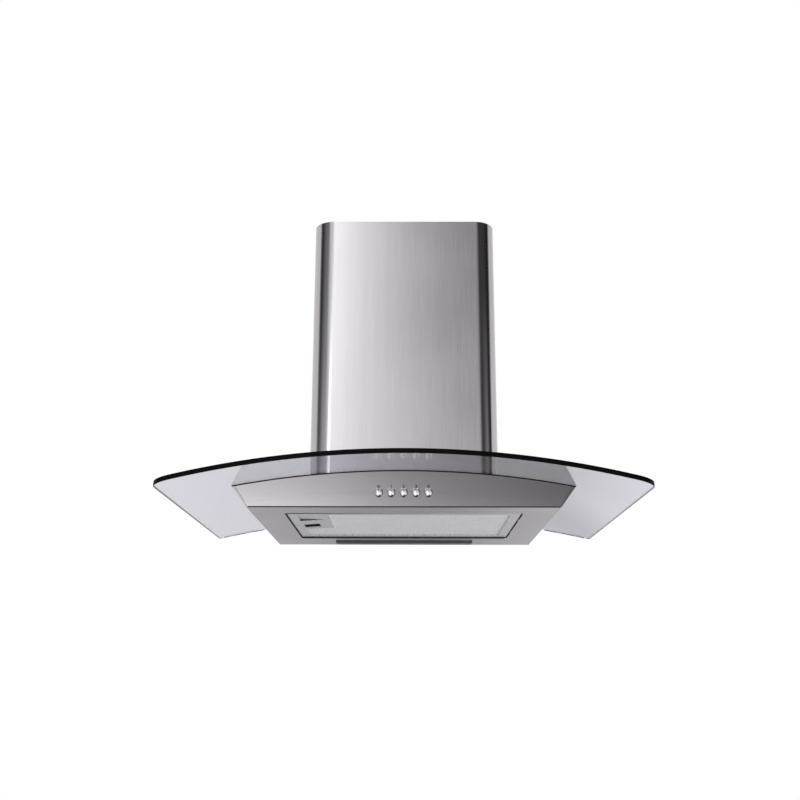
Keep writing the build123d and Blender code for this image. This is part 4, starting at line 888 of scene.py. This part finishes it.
def glow(tree, colour, strength=1.0):
    return node(tree, "ShaderNodeEmission", Color=colour, Strength=strength).outputs[0]


def stops_over(tree, place, stops, peak=1.0):
    """A ramp along a place in metres, from (place, tone) stops with tones up to the peak."""
    start, end = stops[0][0], stops[-1][0]
    factor = map_range(tree, place, start, end)
    return ramp(tree, factor, [((at - start) / (end - start), tone / peak) for at, tone in stops])


def show(tree, shader):
    tree.links.new(shader, tree.nodes["Material Output"].inputs["Surface"])


# The floor's tone in reflections, by place along Y in metres: bright in front of the card, dark under and
# behind the hood, pale where the glass mirrors it, and falling off where the rear of the underside does
FLOOR_ALONG = [(-6.0, 1.0), (-1.6, 1.0), (-1.0, 0.12), (2.6, 0.15), (3.4, 0.45), (6.0, 0.47), (6.9, 0.58),
               (9.0, 0.08), (13.0, 0.3)]
FLOOR_REACH = 13.0
FLOOR_TINT = (1.0, 0.975, 1.03)
FLOOR_SIDE_GAIN = 0.25


def floor():
    """A pale floor that runs out into white for the camera. Reflections see it as a tone that follows
    FLOOR_ALONG, a little paler to both sides and most to the right. From below it isn't there."""
    # Where the tone grows to both sides and to the right, where the latter ends, and where white grows
    sides_grow, right_grows, right_ends, white_grows = (0.2, 1.4), (0.25, 0.8), (4.9, 5.7), (0.9, 2.8)
    plane = stage_plane("floor", FLOOR_REACH, -FLOOR_REACH, FLOOR_REACH, FLOOR_Z)
    material, tree, shader = new_material("floor")
    place = node(tree, "ShaderNodeTexCoord").outputs["Object"]
    x, y = parts_of(tree, place)[:2]
    cloud = noise(tree, place, scale=3.0)
    plug(tree, shader, Base_Color=mix_colour(tree, cloud, (0.76, 0.76, 0.775), (0.79, 0.79, 0.80)),
         Roughness=0.9)

    away = math(tree, "ABSOLUTE", x)
    both_sides = map_range(tree, away, *sides_grow, 0.0, FLOOR_SIDE_GAIN, smooth=True)
    to_right = math(tree, "MULTIPLY", map_range(tree, x, *right_grows, 0.0, FLOOR_SIDE_GAIN),
                    map_range(tree, y, *right_ends, 1.0, 0.0))
    aside = math(tree, "ADD", both_sides, to_right)
    sides = node(tree, "ShaderNodeCombineXYZ", X=aside, Y=aside, Z=aside).outputs[0]
    tone = vector_math(tree, "ADD", stops_over(tree, y, FLOOR_ALONG), sides)
    tone = vector_math(tree, "MULTIPLY", tone, FLOOR_TINT)
    path = node(tree, "ShaderNodeLightPath")
    mirrored = mix_shader(tree, path.outputs["Is Glossy Ray"], shader.outputs[0], glow(tree, tone))

    flat = vector_math(tree, "MULTIPLY", place, (1, 1, 0))
    distance = node(tree, "ShaderNodeVectorMath", {"operation": "LENGTH"}, n0=flat).outputs["Value"]
    far = map_range(tree, distance, *white_grows, smooth=True)
    white = math(tree, "MULTIPLY", path.outputs["Is Camera Ray"], far)
    whole = mix_shader(tree, white, mirrored, glow(tree, (1.0, 1.0, 1.0, 1.0)))
    under = node(tree, "ShaderNodeNewGeometry").outputs["Backfacing"]
    clear = node(tree, "ShaderNodeBsdfTransparent").outputs[0]
    show(tree, mix_shader(tree, under, whole, clear))
    plane.data.materials.append(material)


# What the control panel mirrors, by place along X in metres, bright at the left and dim at the right, and
# by place along Y. The panel shows the part from -0.82 to -0.75, its image in the glass the part round
# -0.47, and the lower half of a button the dark parts.
CARD_ACROSS = [(-0.60, 1.45), (-0.34, 1.14), (-0.17, 0.86), (0.0, 0.48), (0.145, 0.36), (0.32, 0.235),
               (0.60, 0.17)]
CARD_ALONG = [(-1.7, 1.7), (-1.12, 1.7), (-1.02, 0.15), (-0.97, 0.1), (-0.78, 1.08), (-0.72, 2.0),
              (-0.68, 0.9), (-0.64, 0.1), (-0.52, 0.05), (-0.49, 1.0), (-0.45, 1.0), (-0.41, 0.05),
              (0.30, 0.03)]
CARD_PEAK = 2.0
CARD_HALF = 1.3


def reflector_card():
    """A graded card below the front of the hood that only reflections show, faded out at its edges."""
    y0, y1 = CARD_ALONG[0][0], CARD_ALONG[-1][0]
    side_fade, front_fade, back_fade = 0.6, 0.3, 0.2
    plane = stage_plane("reflector_card", CARD_HALF, y0, y1, CARD_Z)
    material, tree, _ = new_material("reflector_card")
    x, y = parts_of(tree, node(tree, "ShaderNodeTexCoord").outputs["Object"])[:2]
    across = stops_over(tree, x, CARD_ACROSS, CARD_PEAK)
    along = stops_over(tree, y, CARD_ALONG, CARD_PEAK)
    light = glow(tree, vector_math(tree, "MULTIPLY", across, along), CARD_PEAK ** 2)
    side = map_range(tree, math(tree, "ABSOLUTE", x), CARD_HALF - side_fade, CARD_HALF, 1, 0, smooth=True)
    front = map_range(tree, y, y0, y0 + front_fade, smooth=True)
    back = map_range(tree, y, y1 - back_fade, y1, 1, 0, smooth=True)
    shown = math(tree, "MULTIPLY", side, math(tree, "MULTIPLY", front, back))
    clear = node(tree, "ShaderNodeBsdfTransparent").outputs[0]
    show(tree, mix_shader(tree, shown, clear, light))
    plane.data.materials.append(material)
    for rays in ("camera", "diffuse", "transmission", "shadow"):
        setattr(plane, "visible_" + rays, False)


# What the steel mirrors round the hood, by direction in degrees from straight ahead, positive to the left.
# The high bands hold from some 20 to 40 degrees up, and the top of the chimney mirrors them towards the
# photograph's camera. The low bands hold elsewhere. The chimney's foot, seen through the glass, mirrors a
# blend of both.
HIGH_BANDS = [(-180, 0.9), (-98, 0.8), (-94, 0.5), (-91, 0.12), (-86, 0), (-62, 0.05), (-45, 0.06),
              (-28, 0.05), (-20, 0.32), (-12, 0.55), (-7, 0.5), (-3.5, 0.26), (0, 0.72), (3, 1.15), (5, 2.5),
              (7, 2.55), (10, 1.6), (14, 1), (28, 0.85), (34, 0.3), (52, 0.22), (64, 0.1), (78, 0),
              (88, 0.3), (92, 1), (97, 0.85), (180, 0.9)]
LOW_BANDS = [(-180, 0.9), (-96, 1), (-92, 1.3), (-87, 0), (-74, 0.05), (-60, 0.5), (-45, 0.17),
             (-36, 0.05), (-28, 0.15), (-18, 0.8), (-7, 0.8), (-3.5, 0.6), (0, 1.2), (3, 1.1), (5, 1.0),
             (7, 1.9), (8.5, 4.4), (16, 4.4), (20, 1.3), (26, 0.8), (36, 0.8), (52, 0.66), (64, 0.25),
             (78, 0.18), (88, 0.8), (92, 1.05), (97, 0.87), (180, 0.9)]
# What is seen straight through the glass: white, but for a greyer part a little right of straight back
THROUGH_BANDS = [(-180, 0.75), (-175.5, 0.52), (-170, 0.54), (-162, 1), (165, 1), (175, 0.93), (180, 0.75)]
BAND_PEAK = 4.5
FLOOR_TONE = 0.75
DIFFUSE_TONE = 0.8

# How far up the high bands begin, are full, begin to fade and end, and half the height of the blend from
# the floor's tone to the bands at the horizon
HIGH_RISE = [radians(angle) for angle in (7, 21, 38, 60)]
HORIZON_HALF = radians(5)


def bands(tree, turn, stops):
    factor = map_range(tree, turn, -pi, pi)
    colour = ramp(tree, factor, [(angle / 360 + 0.5, value / BAND_PEAK) for angle, value in stops])
    return node(tree, "ShaderNodeVectorMath", {"operation": "SCALE"}, n0=colour, Scale=BAND_PEAK).outputs[0]


def studio_world():
    """White to the camera and through glass, banded studio light in reflections, and plain light on the
    dull surfaces."""
    world = bpy.data.worlds.new("studio")
    bpy.context.scene.world = world
    world.use_nodes = True
    tree = world.node_tree
    tree.nodes.clear()
    x, y, z = parts_of(tree, node(tree, "ShaderNodeTexCoord").outputs["Generated"])
    turn = math(tree, "ARCTAN2", math(tree, "MULTIPLY", x, -1.0), math(tree, "MULTIPLY", y, -1.0))
    rise = math(tree, "ARCSINE", z)
    above = map_range(tree, rise, *HIGH_RISE[:2])
    below_ceiling = map_range(tree, rise, *HIGH_RISE[2:], 1, 0)
    shown = math(tree, "MULTIPLY", above, below_ceiling)
    upper = mix_colour(tree, shown, bands(tree, turn, LOW_BANDS), bands(tree, turn, HIGH_BANDS))
    horizon = map_range(tree, rise, -HORIZON_HALF, HORIZON_HALF)
    mirrored = mix_colour(tree, horizon, (FLOOR_TONE,) * 3, upper)
    path = node(tree, "ShaderNodeLightPath")
    plain = mix_colour(tree, path.outputs["Is Glossy Ray"], (DIFFUSE_TONE,) * 3, mirrored)
    through = mix_colour(tree, path.outputs["Is Transmission Ray"], plain, bands(tree, turn, THROUGH_BANDS))
    colour = mix_colour(tree, path.outputs["Is Camera Ray"], through, (1.0, 1.0, 1.0))
    background = node(tree, "ShaderNodeBackground", Color=colour, Strength=1.0).outputs[0]
    out = node(tree, "ShaderNodeOutputWorld")
    tree.links.new(background, out.inputs["Surface"])


def soft_light(name, place, aim, size, power):
    """A large soft lamp that lights dull surfaces and leaves the mirrored studio alone."""
    light = bpy.data.lights.new(name, "AREA")
    light.shape = "DISK"
    light.size = size
    light.energy = power
    lamp = bpy.data.objects.new(name, light)
    lamp.location = place
    lamp.rotation_mode = "QUATERNION"
    lamp.rotation_quaternion = (Vector(place) - Vector(aim)).to_track_quat("Z", "Y")
    lamp.visible_glossy = False
    bpy.context.scene.collection.objects.link(lamp)


def photo_camera():
    """The photograph's camera, with no shift and no blur."""
    ahead = cos(CAMERA_PITCH)
    forward = Vector((sin(CAMERA_YAW) * ahead, cos(CAMERA_YAW) * ahead, sin(CAMERA_PITCH)))
    level = Vector((cos(CAMERA_YAW), -sin(CAMERA_YAW), 0))
    upright = level.cross(forward)
    right = level * cos(CAMERA_ROLL) + upright * sin(CAMERA_ROLL)
    up = upright * cos(CAMERA_ROLL) - level * sin(CAMERA_ROLL)
    lens = bpy.data.cameras.new("photo_camera")
    lens.sensor_width = SENSOR
    lens.lens = FOCAL_PIXELS / IMAGE_PIXELS * SENSOR
    lens.clip_start, lens.clip_end = 0.05, 60.0
    camera = bpy.data.objects.new("photo_camera", lens)
    turn = Matrix((right, up, -forward)).transposed()
    camera.matrix_world = Matrix.Translation(CAMERA_PLACE) @ turn.to_4x4()
    bpy.context.scene.collection.objects.link(camera)
    bpy.context.scene.camera = camera


photo_camera()
paint_nodes()
glass_front_edge()
glass_rear_edge()
panel_foot_seam()
filter_mesh()
filter_seal()
latch_slot()
clear_gasket()
button_marks()
for screws in ("chimney_screws", "back_screws", "lid_screws", "clamp_screws", "scroll_screws",
               "motor_screws"):
    detailed_screws(screws)
floor()
reflector_card()
studio_world()
soft_light("key_light", place=(-1.6, -2.2, 1.6), aim=(0, -0.2, 0), size=1.6, power=24.0)
soft_light("low_fill", place=(0.8, -1.6, -0.7), aim=(0, -0.25, -0.12), size=1.2, power=7.0)
bpy.context.scene.view_settings.view_transform = "Standard"
